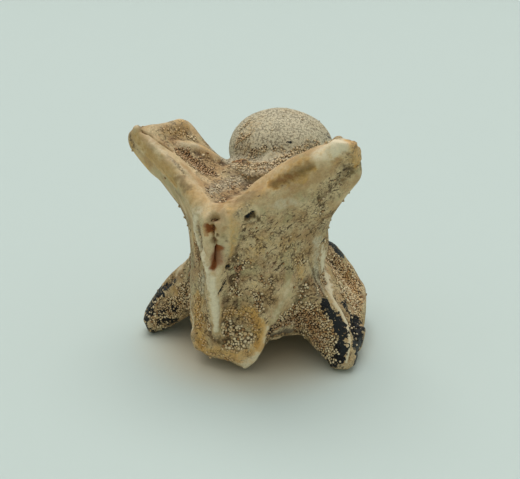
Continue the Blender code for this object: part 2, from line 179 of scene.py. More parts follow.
RIGHT_FACE = Region("right face of the arch", (
    GRIT(1.0, ((262, 279, 0.3), (265, 284, 0.3)), 0.9, 0.8),
    GRIT(1.0, ((271, 281, 0.3), (273, 286, 0.25)), 0.9, 0.8),
    GRIT(1.0, ((253, 292, 0.5), (259, 300, 0.6), (260, 308, 0.5)), 0.9, 0.7),
    GRIT(0.9, ((246, 262, 0.4), (238, 270, 0.35), (238, 284, 0.4)), 0.9, 0.8),
    GRIT(0.9, ((233, 290, 0.5), (240, 294, 0.5)), 0.9, 0.8),
    GRIT(0.7, ((296, 262, 0.6), (306, 262, 0.5)), 0.9, 0.8),
    GRIT(-0.7, ((288, 282, 1.3), (283, 300, 1.3), (275, 318, 0.9)), 0.9),
    GRIT(-0.6, ((318, 236, 0.9), (314, 256, 1.0), (310, 278, 0.9)), 1.0),
    UMBER(0.6, ((240, 266, 0.3), (238, 272, 0.3)), 0.9, 0.9),
    RUST(0.6, ((238, 270, 0.45), (239, 281, 0.45)), 0.9, 1.0),
    UMBER(0.35, ((262, 281, 0.5), (272, 284, 0.4)), 0.9, 0.6),
    UMBER(0.35, ((256, 296, 0.7), (260, 306, 0.6)), 0.9, 0.6),
    OCHRE(0.5, ((298, 264, 1.2), (302, 276, 0.9)), 1.0),
    OCHRE(0.35, ((262, 240, 1.2), (252, 258, 1.0)), 1.0, 0.6),
    ASH(0.6, ((318, 238, 0.9), (317, 256, 1.2), (316, 274, 1.1), (320, 290, 0.9)), 1.0, 0.6),
    CREAM(0.3, ((318, 246, 0.8), (319, 262, 0.9), (322, 282, 0.7)), 1.0, 0.9),
    ASH(0.25, ((262, 262, 1.2), (275, 268, 1.0)), 1.0, 0.6),
    GRIT(0.5, ((240, 240, 1.0), (262, 236, 1.4), (290, 234, 1.4), (282, 254, 1.2)), 1.0, 0.6),
    UMBER(0.3, ((262, 240, 1.4), (290, 232, 1.4)), 1.0, 0.9),
    CREAM(0.45, ((288, 286, 1.2), (283, 300, 1.2), (276, 316, 1.0)), 1.0),
    RELIEF(-0.16, ((310, 262, 0.2), (316, 280, 0.2), (323, 296, 0.2)), 1.0, 0.2),
    UMBER(0.95, ((311, 260, 0.1), (317, 282, 0.14), (325, 298, 0.2)), 0.8, 0.4),
    TAR(0.8, ((325, 238, 0.16), (321, 243, 0.16)), 0.8, 0.5),
    TAR(0.6, ((321, 251, 0.14),), 0.8, 0.5),
))

LEFT_FACE = Region("left face of the arch", (
    GRIT(-0.9, ((189, 206, 0.9), (192, 218, 0.9), (192, 230, 0.8), (192, 244, 0.6)), 0.8),
    GRIT(0.68, ((196, 238, 0.7), (197, 252, 0.9), (199, 262, 0.8)), 0.9, 0.6),
    GRIT(0.56, ((200, 274, 1.0), (200, 290, 1.0)), 0.9, 0.6),
    OCHRE(0.6, ((193, 238, 0.9), (196, 254, 0.7)), 1.0),
    UMBER(0.6, ((194, 240, 0.8), (197, 252, 0.9), (199, 262, 0.7)), 1.0, 0.7),
    ASH(0.7, ((203, 276, 0.9), (202, 290, 0.9)), 1.0, 0.6),
    CREAM(0.5, ((201, 274, 0.8), (201, 290, 0.8)), 1.0, 0.8),
    CREAM(0.6, ((186, 260, 0.7), (180, 268, 0.7), (174, 274, 0.4)), 0.9),
    GRIT(-0.9, ((186, 260, 0.8), (180, 268, 0.7), (174, 274, 0.4)), 0.9),
))

LEFT_BAND = ((137, 137, 1.1), (150, 153, 1.6), (165, 167, 1.7), (181, 182, 1.6), (196, 198, 1.3))
LEFT_OUTLINE = ((140, 158, 0.9), (148, 170, 1.4), (160, 185, 1.6), (172, 200, 1.6), (182, 214, 1.2))
LEFT_GROOVE = ((142, 131, 0.25), (150, 134, 0.25), (160, 142, 0.25), (172, 151, 0.25))
LEFT_TROUGH = ((181, 153, 0.8), (192, 160, 1.4), (203, 167, 1.6), (212, 172, 1.1))
LEFT_RIDGE = ((180, 145, 0.8), (194, 147, 0.9), (206, 152, 0.9), (216, 158, 0.7))
LEFT_RIM = ((146, 129, 0.5), (162, 122, 0.6), (178, 116, 0.6), (187, 118, 0.6), (193, 130, 0.5), (200, 142, 0.5))
LEFT_WING = Region("left wing", (
    GRIT(-1.0, LEFT_BAND, 0.3),
    GRIT(-1.0, LEFT_OUTLINE, 0.3),
    GRIT(-1.0, ((144, 158, 1.3), (160, 177, 1.4), (176, 196, 1.4), (190, 214, 1.0)), 0.3),
    GRIT(-1.0, ((145, 133, 0.6), (158, 143, 0.9), (173, 155, 1.0), (188, 168, 1.0), (199, 190, 0.8)), 0.5),
    GRIT(-0.9, LEFT_RIM, 0.6),
    SMOOTH(0.55, LEFT_BAND, 1.0, 0.0),
    SMOOTH(0.5, LEFT_OUTLINE, 1.0, 0.0),
    RELIEF(0.2, LEFT_BAND, 1.0, 0.1),
    RELIEF(-0.3, ((172, 202, 1.2), (182, 214, 1.2)), 1.0, 0.0),
    RELIEF(0.38, ((136, 147, 2.0), (144, 158, 2.0), (152, 168, 1.6)), 1.0, 0.0),
    RELIEF(0.35, ((156, 130, 1.4), (168, 127, 1.4), (180, 124, 1.2)), 1.0, 0.0),
    RELIEF(0.16, ((150, 143, 0.5), (163, 153, 0.5), (176, 165, 0.5)), 1.0, 0.4),
    UMBER(0.45, LEFT_BAND, 0.8, 0.5),
    ASH(0.4, ((150, 140, 1.2), (168, 158, 1.2), (186, 172, 1.2), (196, 188, 1.0)), 1.0),
    OCHRE(0.55, LEFT_BAND, 1.0, 0.6),
    UMBER(0.4, LEFT_OUTLINE, 1.0, 0.5),
    OCHRE(0.5, LEFT_OUTLINE, 1.0, 0.6),
    OCHRE(0.7, ((134, 142, 0.7), (138, 152, 0.9), (150, 166, 0.8)), 1.0),
    UMBER(0.5, ((156, 162, 1.0), (170, 174, 0.9)), 1.0, 0.6),
    RUST(0.2, ((138, 150, 0.9), (146, 160, 0.7)), 1.0, 0.9),
    OCHRE(0.7, ((150, 156, 1.0), (164, 170, 1.2), (176, 184, 1.0)), 1.0, 0.6),
    UMBER(0.95, ((178, 176, 1.0), (186, 185, 1.0)), 1.0, 0.6),
    RELIEF(0.3, ((137, 128, 0.55),), 1.0, 0.1),
    CREAM(0.5, ((137, 128, 0.5),), 1.0),
    RELIEF(-0.28, LEFT_GROOVE, 1.0, 0.2),
    UMBER(0.8, LEFT_GROOVE, 0.8, 0.6),
    RELIEF(0.22, ((196, 172, 0.4),), 1.0, 0.1),
    CREAM(0.6, ((196, 172, 0.4),), 0.9),
    GRIT(0.54, ((155, 131, 0.9), (170, 134, 1.3), (182, 132, 1.2), (194, 140, 0.7)), 0.9, 0.6),
    CREAM(0.2, ((160, 133, 1.0), (174, 134, 1.2)), 1.0, 0.8),
    OCHRE(0.35, ((160, 133, 0.7), (174, 134, 0.9), (184, 133, 0.7)), 1.0, 0.6),
    OCHRE(0.55, ((166, 124, 0.8), (180, 122, 0.9), (186, 126, 0.7)), 0.9),
    CREAM(0.7, ((150, 126, 0.4), (166, 120, 0.4), (180, 118, 0.4)), 0.9),
    RELIEF(0.35, LEFT_RIDGE, 1.0, 0.1),
    GRIT(-0.8, LEFT_RIDGE, 0.8),
    ASH(0.5, ((178, 146, 0.9), (192, 147, 0.9), (200, 148, 0.8)), 1.0),
    OCHRE(0.55, ((200, 148, 0.6), (212, 154, 0.7)), 0.9),
    GRIT(0.95, LEFT_TROUGH, 0.6, 0.6),
    UMBER(1.0, LEFT_TROUGH, 0.7, 0.6),
    RELIEF(-0.25, LEFT_TROUGH, 1.0, 0.3),
))

RIGHT_CREST = ((230, 203, 1.2), (250, 192, 1.3), (275, 177, 1.4), (300, 163, 1.4), (325, 150, 1.4))
CREST_EDGE = ((256, 183, 0.8), (276, 171, 1.0), (297, 159, 1.0), (316, 150, 1.0), (330, 145, 0.9))
RIGHT_TIP = ((338, 144, 1.2), (347, 145, 1.2), (354, 158, 1.1))
RIGHT_STAIN = ((274, 184, 0.9), (286, 178, 1.2), (298, 172, 1.4), (310, 166, 1.0))
RIGHT_WING = Region("right wing", (
    SMOOTH(0.55, RIGHT_CREST, 1.0, 0.0),
    SMOOTH(0.9, ((338, 142, 2.0), (346, 143, 2.2), (353, 160, 1.2)), 1.0, 0.0),
    GRIT(-1.0, RIGHT_CREST, 0.3),
    GRIT(-1.0, CREST_EDGE, 0.5),
    GRIT(-1.0, ((236, 198, 0.9), (262, 181, 1.0), (285, 166, 1.2), (305, 156, 1.2)), 0.4),
    GRIT(-0.9, ((262, 206, 1.4), (290, 198, 2.0), (312, 176, 1.8), (332, 158, 1.5)), 0.7),
    RELIEF(0.15, RIGHT_CREST, 1.0, 0.1),
    RELIEF(0.75, RIGHT_TIP, 1.0, 0.1),
    RELIEF(0.2, ((342, 141, 0.9), (350, 143, 0.8)), 1.0, 0.0),
    RELIEF(0.35, ((352, 147, 0.8), (356, 151, 0.7)), 1.0, 0.1),
    RELIEF(-0.16, ((278, 186, 0.9), (295, 178, 1.0), (310, 172, 0.8)), 1.0, 0.3),
    ASH(0.3, ((270, 206, 1.2), (290, 204, 1.4), (306, 200, 1.0)), 1.0),
    ASH(0.5, ((276, 206, 1.0), (292, 202, 1.2)), 1.0, 0.8),
    UMBER(0.4, RIGHT_CREST, 0.9, 0.5),
    OCHRE(0.3, RIGHT_CREST, 1.0, 0.6),
    UMBER(0.3, ((272, 174, 0.9), (288, 165, 1.0), (304, 158, 1.0)), 1.0, 0.5),
    # Painted highlight: a pale cream patch on the wing's upper face near its tip.
    UMBER(-0.8, ((320, 154, 0.8), (332, 149, 1.0), (342, 145, 1.0)), 0.8),
    CREAM(1.0, ((318, 154, 1.0), (330, 149, 1.4), (339, 146, 1.3)), 0.8),
    OCHRE(0.4, ((234, 208, 0.9), (252, 198, 0.9), (270, 186, 0.7)), 1.0),
    UMBER(0.75, ((236, 201, 1.1), (254, 193, 1.1)), 1.0, 0.6),
    OCHRE(1.0, RIGHT_STAIN, 1.0, 0.6),
    UMBER(0.95, RIGHT_STAIN, 1.0, 0.2),
    UMBER(0.4, ((282, 188, 1.0), (300, 182, 1.2)), 1.0, 0.5),
    RUST(0.45, ((280, 180, 0.6), (296, 175, 0.9)), 1.0, 0.3),
    UMBER(1.0, ((275, 182, 0.4),), 1.0, 0.5),
    OCHRE(0.9, ((349, 141, 0.7), (355, 152, 1.0), (356, 164, 0.8)), 1.0),
    GRIT(0.55, ((352, 150, 0.7), (353, 164, 0.7)), 0.9, 0.6),
    CREAM(0.3, ((352, 147, 0.7), (356, 156, 0.7)), 1.0, 0.6),
    UMBER(1.0, ((349, 166, 0.5), (352, 172, 0.5)), 1.0, 0.6),
    UMBER(0.7, ((350, 168, 0.6), (342, 178, 0.9), (332, 186, 0.8), (322, 198, 0.7)), 1.0, 0.6),
    RUST(0.3, ((346, 172, 0.5), (338, 182, 0.6)), 1.0, 0.8),
    GRIT(0.5, ((345, 176, 0.9), (333, 186, 1.1), (326, 198, 1.0)), 1.0, 0.6),
    UMBER(0.9, ((343, 176, 0.25), (334, 187, 0.25), (330, 199, 0.3)), 0.9, 1.2),
    GRIT(0.54, ((322, 200, 0.9), (318, 212, 0.9), (327, 214, 0.8)), 1.0, 0.6),
    GRIT(-0.9, ((359, 174, 0.8), (352, 190, 0.9), (343, 202, 0.9), (334, 214, 0.7)), 0.8),
    UMBER(0.9, ((318, 198, 0.3), (321, 206, 0.25)), 0.9, 0.6),
    TAR(0.6, ((329, 213, 0.12), (333, 208, 0.1)), 0.8, 0.6),
))

SADDLE_FLOOR = ((210, 192, 1.0), (228, 184, 1.5), (246, 178, 1.5), (266, 166, 1.3), (290, 158, 0.8))
BALL_FOOT = ((234, 168, 1.2), (250, 171, 1.6), (266, 168, 1.7), (284, 160, 1.5), (302, 151, 1.3), (318, 144, 1.0))
WHITE_CRUST = ((266, 157, 0.45), (272, 154, 0.5), (280, 157, 0.4))
SADDLE = Region("saddle between the wings and the ball", (
    FILL(0.8, BALL_FOOT, 0.9, 0.0),
    GRIT(-0.7, BALL_FOOT, 0.6),
    UMBER(-0.8, SADDLE_FLOOR, 0.6),
    GRIT(-0.6, SADDLE_FLOOR, 0.6),
    GRIT(0.52, SADDLE_FLOOR, 0.7, 0.6),
    ASH(0.6, SADDLE_FLOOR, 0.9),
    UMBER(0.35, ((214, 172, 0.4), (232, 174, 0.5), (250, 166, 0.4)), 1.0, 0.9),
    UMBER(0.35, ((214, 198, 0.4), (230, 196, 0.5), (244, 188, 0.4)), 1.0, 0.9),
    CREAM(0.5, WHITE_CRUST, 0.6, 1.1),
    GRIT(-0.6, WHITE_CRUST, 0.6, 1.1),
    RELIEF(0.14, WHITE_CRUST, 1.0, 0.6),
    RELIEF(0.14, ((233, 162, 0.4), (242, 160, 0.4), (247, 163, 0.35)), 1.0, 0.4),
    RUST(0.4, ((260, 174, 0.3), (266, 173, 0.25)), 0.8, 0.6),
    UMBER(0.6, ((258, 174, 0.25), (266, 174, 0.25)), 0.8, 0.6),
))

CONDYLE = Region("ball", (
    GRIT(0.8, ((238, 141, 0.5), (247, 136, 0.5)), 0.9, 0.8),
    GRIT(0.62, ((236, 150, 0.6), (242, 128, 0.6), (252, 118, 0.5)), 1.0, 0.9),
    GRIT(0.45, ((262, 128, 0.8), (276, 134, 0.8)), 1.0, 0.9),
    OCHRE(0.3, ((244, 150, 1.2), (246, 136, 1.6), (254, 122, 1.4)), 1.0, 0.6),
    UMBER(0.3, ((240, 148, 0.9), (246, 134, 1.0)), 1.0, 1.0),
    GRIT(0.95, ((250, 156, 0.5), (256, 150, 0.45), (263, 148, 0.35)), 0.8, 0.8),
    GRIT(1.0, ((274, 149, 0.35), (282, 150, 0.35), (287, 155, 0.35)), 0.8, 0.8),
    UMBER(0.35, ((244, 142, 0.9), (252, 152, 0.7)), 1.0, 0.8),
    UMBER(0.5, ((252, 155, 0.4), (258, 149, 0.35)), 0.9, 0.8),
    UMBER(0.5, ((275, 149, 0.3), (286, 154, 0.35)), 0.9, 0.8),
    OCHRE(0.25, ((300, 113, 1.2), (286, 110, 1.2)), 1.0),
    CREAM(0.3, ((248, 130, 2.0), (276, 122, 3.2), (304, 130, 3.0)), 1.0),
    TAR(1.0, ((287, 142, 0.14), (290, 143, 0.2), (292, 141, 0.12)), 0.6, 0.5),
    TAR(1.0, ((327, 136, 0.14), (331, 139, 0.16)), 0.6, 0.5),
    TAR(0.8, ((236, 130, 0.16),), 0.7, 0.5),
))

PEBBLES = ((224, 326, 0.9), (238, 332, 1.1), (250, 338, 0.8), (228, 343, 0.9), (242, 344, 0.7))
TONGUE_LIP = ((266, 328, 0.4), (262, 345, 0.45), (254, 360, 0.45), (245, 367, 0.4))
TONGUE = Region("tongue at the front of the arch", (
    RELIEF(0.35, ((194, 334, 0.7), (195, 347, 0.7)), 1.0, 0.1),
    OCHRE(0.9, ((198, 296, 0.8), (200, 322, 1.2), (202, 345, 1.3)), 1.0, 0.6),
    OCHRE(0.62, ((205, 352, 1.2), (230, 356, 1.3), (250, 354, 1.2)), 0.9, 0.6),
    OCHRE(0.95, ((258, 346, 1.1), (258, 326, 1.2), (250, 312, 1.0)), 1.0, 0.6),
    OCHRE(0.8, ((228, 314, 1.0), (244, 312, 1.0)), 1.0, 0.6),
    UMBER(0.3, ((232, 316, 0.8), (250, 322, 0.9)), 1.0, 0.9),
    CREAM(0.6, ((212, 356, 0.9), (228, 358, 0.9), (242, 358, 0.9)), 1.0, 0.9),
    GRIT(0.6, ((198, 298, 1.0), (201, 325, 1.3), (205, 344, 1.0)), 0.9, 0.6),
    GRIT(0.55, ((208, 354, 1.1), (230, 358, 1.1)), 0.9, 0.6),
    CREAM(0.35, ((198, 300, 0.9), (202, 326, 1.1), (206, 348, 1.1), (232, 356, 1.1)), 1.0, 0.7),
    GRIT(0.6, ((228, 312, 0.8), (246, 314, 1.0), (255, 328, 0.9)), 0.9, 0.6),
    GRIT(0.74, PEBBLES, 0.7, 0.6),
    COARSE(0.6, PEBBLES, 0.9),
    GRIT(0.6, ((224, 348, 0.6), (236, 350, 0.6)), 0.8, 0.6),
    OCHRE(-0.7, PEBBLES, 0.8),
    CREAM(0.25, PEBBLES, 1.0, 0.8),
    # Painted highlights: pale cream lines along the tongue's left edge and its lower right lip.
    CREAM(0.9, ((191, 296, 0.2), (190, 308, 0.22), (193, 320, 0.2), (193, 342, 0.25)), 0.8),
    CREAM(1.0, ((267, 328, 0.35), (263, 345, 0.45), (255, 360, 0.5), (245, 368, 0.4)), 0.7),
    GRIT(-1.0, TONGUE_LIP, 0.6),
    CREAM(0.8, ((258, 352, 0.8), (251, 359, 0.8), (242, 364, 0.7)), 1.0),
    RELIEF(-0.14, PEBBLES, 1.0, 0.4),
    RELIEF(0.14, TONGUE_LIP, 1.0, 0.2),
    UMBER(0.9, ((220, 336, 0.25), (219, 343, 0.25), (226, 346, 0.25)), 0.8, 0.8),
))

LEG_RIDGE = (
    (327, 290, 0.6), (333, 301, 0.55), (340, 312, 0.36), (346, 324, 0.26), (349, 340, 0.22), (348, 352, 0.2),
    (346, 361, 0.2),
)
LEG_STRIPE = (
    (325, 302, 0.35), (331, 312, 0.6), (337, 323, 0.75), (341, 335, 0.75), (341, 348, 0.75), (339, 358, 0.65),
)
LEDGE = ((268, 334, 0.3), (277, 326, 0.4), (286, 321, 0.55), (297, 318, 0.7), (300, 326, 0.5))
LEDGE_RIM = ((267, 337, 0.16), (276, 333, 0.16), (286, 332, 0.16), (298, 331, 0.16))
RIGHT_LEG = Region("right leg", (
    GRIT(1.0, ((284, 320, 0.8), (298, 313, 1.1), (312, 316, 1.5), (322, 334, 1.6), (330, 352, 1.5)), 0.3),
    UMBER(0.55, ((286, 320, 0.8), (300, 314, 1.1), (314, 322, 1.4), (322, 338, 1.5)), 0.9, 0.7),
    RUST(0.3, ((304, 314, 0.9), (316, 326, 1.1), (320, 344, 0.9)), 1.0, 0.9),
    OCHRE(0.5, ((304, 310, 0.9), (316, 320, 1.2), (316, 334, 1.0)), 1.0, 0.6),
    GRIT(1.0, LEDGE, 0.6, 0.5),
    UMBER(0.8, ((276, 333, 0.6), (288, 331, 0.8), (300, 332, 0.8)), 1.0, 0.6),
    RELIEF(-0.22, LEDGE, 1.0, 0.2),
    TAR(0.7, ((267, 335, 0.18), (274, 328, 0.22), (282, 321, 0.22), (290, 316, 0.2)), 0.7, 0.9),
    UMBER(1.0, LEDGE, 0.8, 0.8),
    RELIEF(-0.5, ((270, 341, 0.7), (280, 338, 0.7), (290, 337, 0.7), (300, 336, 0.6)), 1.0, 0.0),
    GRIT(0.8, ((276, 334, 0.4), (288, 331, 0.6), (300, 330, 0.5)), 0.8, 0.6),
    UMBER(0.9, ((276, 335, 0.5), (288, 332, 0.7), (300, 331, 0.6)), 0.9, 0.6),
    GRIT(1.0, ((271, 337, 0.4), (282, 335, 0.5), (294, 333, 0.5)), 0.7, 0.6),
    UMBER(1.0, ((271, 337, 0.5), (282, 335, 0.6), (294, 333, 0.6)), 0.8, 0.8),
    CREAM(0.25, LEDGE_RIM, 0.8, 0.7),
    GRIT(-0.5, ((321, 250, 0.7), (325, 272, 0.6)), 1.0),
    ASH(0.6, ((322, 262, 0.8), (325, 275, 0.9), (329, 290, 0.8)), 1.0, 0.6),
    CREAM(0.9, ((321, 244, 0.7), (323, 260, 0.8), (326, 276, 0.8), (330, 290, 0.6)), 1.0, 0.9),
    GRIT(0.7, ((316, 284, 0.4), (320, 292, 0.5)), 0.9, 0.8),
    RELIEF(0.2, LEG_RIDGE, 1.0, 0.1),
    CREAM(1.0, LEG_RIDGE, 0.7, 0.5),
    GRIT(-1.0, LEG_RIDGE, 0.5, 0.3),
    RELIEF(-0.15, ((349, 308, 0.3), (356, 322, 0.4), (358, 335, 0.4)), 1.0, 0.3),
    RELIEF(0.35, ((363, 332, 0.9), (363, 345, 0.9), (358, 354, 0.9)), 1.0, 0.1),
    RELIEF(-0.3, ((362, 298, 0.8),), 1.0, 0.1),
    RELIEF(0.3, ((334, 365, 0.8), (346, 366, 0.8), (356, 360, 0.7)), 1.0, 0.0),
    TAR(1.0, LEG_STRIPE, 0.5, 0.8),
    GRIT(-0.9, ((330, 310, 0.4), (338, 326, 0.7), (342, 340, 0.7), (343, 352, 0.55)), 0.7, 0.6),
    TAR(0.62, ((338, 362, 0.8), (328, 362, 0.8), (320, 352, 0.5)), 0.7, 0.9),
    TAR(0.7, ((344, 303, 0.5), (350, 314, 0.7), (355, 324, 0.8)), 0.7, 0.9),
    TAR(0.95, ((354, 320, 0.9), (359, 338, 1.3), (358, 350, 1.2), (356, 358, 0.8)), 0.5, 0.7),
    GRIT(0.7, ((350, 310, 0.5), (355, 324, 0.6), (356, 338, 0.5)), 0.8, 0.8),
    OCHRE(0.3, ((359, 292, 0.6), (361, 308, 0.5)), 1.0),
    CREAM(0.3, ((363, 300, 0.4), (364, 312, 0.4)), 1.0),
))

RIGHT_BULGE = Region("right bulge", (
    GRIT(0.85, ((336, 258, 1.0), (342, 272, 1.4), (348, 288, 1.4), (352, 302, 1.0)), 0.6, 0.5),
    OCHRE(0.6, ((342, 266, 0.9), (350, 280, 1.1), (356, 292, 0.8)), 1.0),
    GRIT(0.9, ((350, 268, 0.8), (356, 284, 1.1), (359, 300, 1.0), (356, 312, 0.8)), 0.8, 0.6),
    GRIT(0.85, ((334, 272, 0.7), (341, 285, 0.9), (348, 299, 0.8)), 0.8, 0.6),
    UMBER(0.2, ((340, 262, 0.9), (348, 286, 0.9), (354, 304, 0.9)), 1.0, 0.9),
    GRIT(-0.7, ((354, 262, 0.3), (360, 276, 0.25)), 0.9),
    CREAM(0.3, ((353, 264, 0.4), (360, 278, 0.4)), 1.0),
    TAR(0.85, ((331, 240, 0.6), (335, 246, 0.9), (341, 254, 1.0)), 0.6, 0.8),
    TAR(1.0, ((336, 249, 0.6), (341, 254, 0.7)), 0.6, 0.5),
    GRIT(-0.8, ((336, 249, 0.5), (341, 254, 0.6)), 0.7, 0.4),
    TAR(0.6, ((332, 262, 0.15), (336, 272, 0.12)), 0.8, 0.9),
))

LEFT_LEG = Region("left leg", (
    GRIT(1.0, ((184, 285, 0.6), (182, 300, 0.9), (170, 310, 1.2), (158, 316, 0.9)), 0.4, 0.5),
    GRIT(0.8, ((160, 298, 0.7), (152, 308, 0.6)), 0.9, 0.6),
    GRIT(-0.6, ((172, 288, 0.6), (178, 294, 0.4)), 0.9),
    OCHRE(0.5, ((172, 288, 0.7), (180, 296, 0.8)), 1.0),
    UMBER(0.6, ((172, 288, 0.8), (178, 294, 0.6)), 1.0, 0.6),
    TAR(0.7, ((173, 281, 0.5), (163, 289, 0.8), (154, 298, 0.9), (149, 308, 1.1)), 0.6, 0.8),
    TAR(0.6, ((162, 312, 0.6), (168, 309, 0.8), (176, 307, 0.6)), 0.7, 0.9),
    TAR(0.6, ((160, 322, 0.5), (170, 320, 0.7), (179, 320, 0.5)), 0.7, 0.9),
    UMBER(0.6, ((160, 306, 0.8), (172, 312, 0.9), (182, 304, 0.7)), 1.0, 0.8),
    RELIEF(0.45, ((148, 320, 0.9), (152, 328, 0.9)), 1.0, 0.0),
    GRIT(-0.9, ((149, 319, 0.6), (152, 327, 0.6)), 0.8, 0.5),
    CREAM(0.4, ((149, 317, 0.5), (151, 325, 0.4)), 0.9),
    UMBER(0.3, ((149, 320, 0.6), (154, 328, 0.6)), 1.0, 0.8),
    RELIEF(-0.3, ((174, 275, 0.7), (166, 284, 0.7)), 1.0, 0.0),
    TAR(0.75, ((147, 314, 0.5), (149, 325, 0.5), (157, 331, 0.5)), 0.8, 0.9),
    TAR(0.75, ((164, 329, 0.4), (178, 325, 0.4)), 0.8, 0.9),
    GRIT(0.7, ((150, 314, 0.5), (155, 324, 0.5), (164, 326, 0.4)), 0.8, 0.8),
    CREAM(0.8, ((158, 330, 0.2), (166, 328, 0.2), (174, 325, 0.2)), 0.7),
))

SADDLE_EDGE = Region("edge of the saddle", (
    GRIT(-0.8, BALL_FOOT, 0.6),
    GRIT(0.56, BALL_FOOT, 0.8, 0.6),
    GRIT(0.9, ((250, 156, 0.6), (259, 151, 0.5), (266, 148, 0.4)), 0.8, 0.8),
    GRIT(0.85, ((256, 166, 0.5), (264, 164, 0.4), (276, 164, 0.4), (286, 157, 0.4)), 0.8, 0.8),
    UMBER(0.5, ((254, 158, 0.5), (262, 166, 0.6), (276, 165, 0.5)), 0.9, 1.0),
    UMBER(-1.0, BALL_FOOT, 0.6),
    ASH(0.7, BALL_FOOT, 1.0),
    OCHRE(0.3, BALL_FOOT, 1.0, 0.9),
    OCHRE(0.8, ((234, 163, 0.5), (241, 161, 0.7), (248, 163, 0.5)), 0.9, 0.8),
    UMBER(1.0, ((234, 163, 0.4), (241, 162, 0.55), (248, 164, 0.4)), 0.8, 0.9),
    RUST(0.5, ((235, 163, 0.3), (241, 161, 0.4)), 0.8, 0.8),
    GRIT(0.9, ((235, 163, 0.35), (242, 162, 0.45)), 0.8, 0.8),
    GRIT(0.4, ((248, 184, 0.9), (232, 192, 1.0), (214, 196, 1.0)), 0.8, 0.6),
    UMBER(0.4, ((248, 182, 0.5), (230, 186, 0.5), (214, 190, 0.5)), 1.0, 1.2),
    ASH(1.0, WHITE_CRUST, 0.7, 1.0),
    CREAM(0.5, WHITE_CRUST, 0.7, 1.0),
    GRIT(-0.3, WHITE_CRUST, 0.6, 0.8),
))

REGIONS = (
    RIGHT_FACE, LEFT_FACE, SADDLE, CONDYLE, LEFT_WING, RIGHT_WING, SADDLE_EDGE, TONGUE, BROKEN_SPINE,
    RIGHT_BULGE, RIGHT_LEG, LEFT_LEG,
)


def paint(red: int, green: int, blue: int) -> Colour:
    """A colour seen on the bone, as the linear colour that a shader takes.

    Args:
        red: Red from 0 to 255, as a screen shows it.
        green: Green in the same way.
        blue: Blue in the same way.

    Returns:
        The linear colour by the sRGB curve, with full opacity.
    """
    shares = (channel / 255 for channel in (red, green, blue))
    linear = [share / 12.92 if share <= 0.04045 else ((share + 0.055) / 1.055) ** 2.4 for share in shares]
    return (*linear, 1.0)


def smoothstep(low: float, high: float, values: Array) -> Array:
    """Rises smoothly from 0 at the low value to 1 at the high one.

    Args:
        low: The value where the rise starts.
        high: The value where it ends.
        values: What is mapped.

    Returns:
        The mapped values.
    """
    share = np.clip((values - low) / (high - low), 0.0, 1.0)
    return share * share * (3 - 2 * share)


def stand(name: str, data: bpy.types.ID) -> bpy.types.Object:
    """Stands a new object in the scene.

    Args:
        name: Its name.
        data: Its mesh, camera or lamp.

    Returns:
        The object.
    """
    piece = bpy.data.objects.new(name, data)
    bpy.context.scene.collection.objects.link(piece)
    return piece


@dataclass(frozen=True)
class Pattern:
    """Smooth noise of about -1 to 1. Two patterns of one size differ by their shifts."""

    size: float
    shift: float = 0.0

    def at(self, points: Array) -> Array:
        """The pattern at each point.

        Args:
            points: Places in millimetres.

        Returns:
            One value for each point.
        """
        offset = Vector((self.shift, -self.shift, self.shift / 2))
        return np.array([noise.noise(Vector(point) + offset) for point in points / self.size])


@dataclass(frozen=True)
class PhotoView:
    """Where the photograph was taken from, in degrees and millimetres, and how wide it sees."""

    azimuth: float = 22.2
    elevation: float = 20.0
    distance: float = 66.5
    target: tuple[float, float, float] = (0.265, -0.957, 9.87)
    lens: float = 48.46
    sensor: float = 36.0
    width: int = 520
    height: int = 479
    stride: float = 1.5

    def axes(self) -> tuple[Array, Array, Array]:
        """The directions to the right of, above and behind the camera.

        Returns:
            Three unit vectors.
        """
        turn, lift = math.radians(self.azimuth), math.radians(self.elevation)
        right = np.array((math.cos(turn), math.sin(turn), 0.0))
        back = np.array((math.sin(turn) * math.cos(lift), -math.cos(turn) * math.cos(lift), math.sin(lift)))
        return right, np.cross(back, right), back

    def place(self) -> Array:
        """The camera's place in millimetres."""
        return np.array(self.target) + self.axes()[2] * self.distance

    def ray(self, across: float, down: float) -> Array:
        """The direction in which a pixel looks.

        Args:
            across: Pixels from the left edge.
            down: Pixels from the top edge.

        Returns:
            A unit vector.
        """
        right, up, back = self.axes()
        pixels = self.lens / self.sensor * self.width
        way = right * (across - self.width / 2) / pixels - up * (down - self.height / 2) / pixels - back
        return way / np.linalg.norm(way)

    def spots(self, path: Path, tree: BVHTree) -> Array:
        """Lays a path on the bone.

        Args:
            path: The path's pixels and radii.
            tree: The bone's surface.

        Returns:
            Rows of a point, the surface's normal there, and the radius.
        """
        steps = [path[0]]
        for start, end in zip(path, path[1:]):
            count = max(1, round(math.dist(start[:2], end[:2]) / self.stride))
            shares = np.linspace(0.0, 1.0, count + 1)[1:, None]
            steps.extend(np.array(start) + (np.array(end) - np.array(start)) * shares)
        origin = self.place()
        reach = self.distance
        rows = []
        for across, down, radius in steps:
            way = self.ray(across, down)
            point, normal, _, far = tree.ray_cast(Vector(origin), Vector(way))
            if point is None:
                point, normal, _, _ = tree.find_nearest(Vector(origin + way * reach))
            else:
                reach = far
            rows.append((*point, *normal, radius))
        return np.array(rows)

    def camera(self) -> bpy.types.Object:
        """The camera that takes the same view.

        Returns:
            The camera's object.
        """
        data = bpy.data.cameras.new("photo_camera")
        data.lens, data.sensor_width = self.lens, self.sensor
        data.clip_start = MM
        camera = stand("photo_camera", data)
        camera.location = Vector(self.place()) * MM
        camera.rotation_euler = Vector(self.axes()[2]).to_track_quat("Z", "Y").to_euler()
        return camera


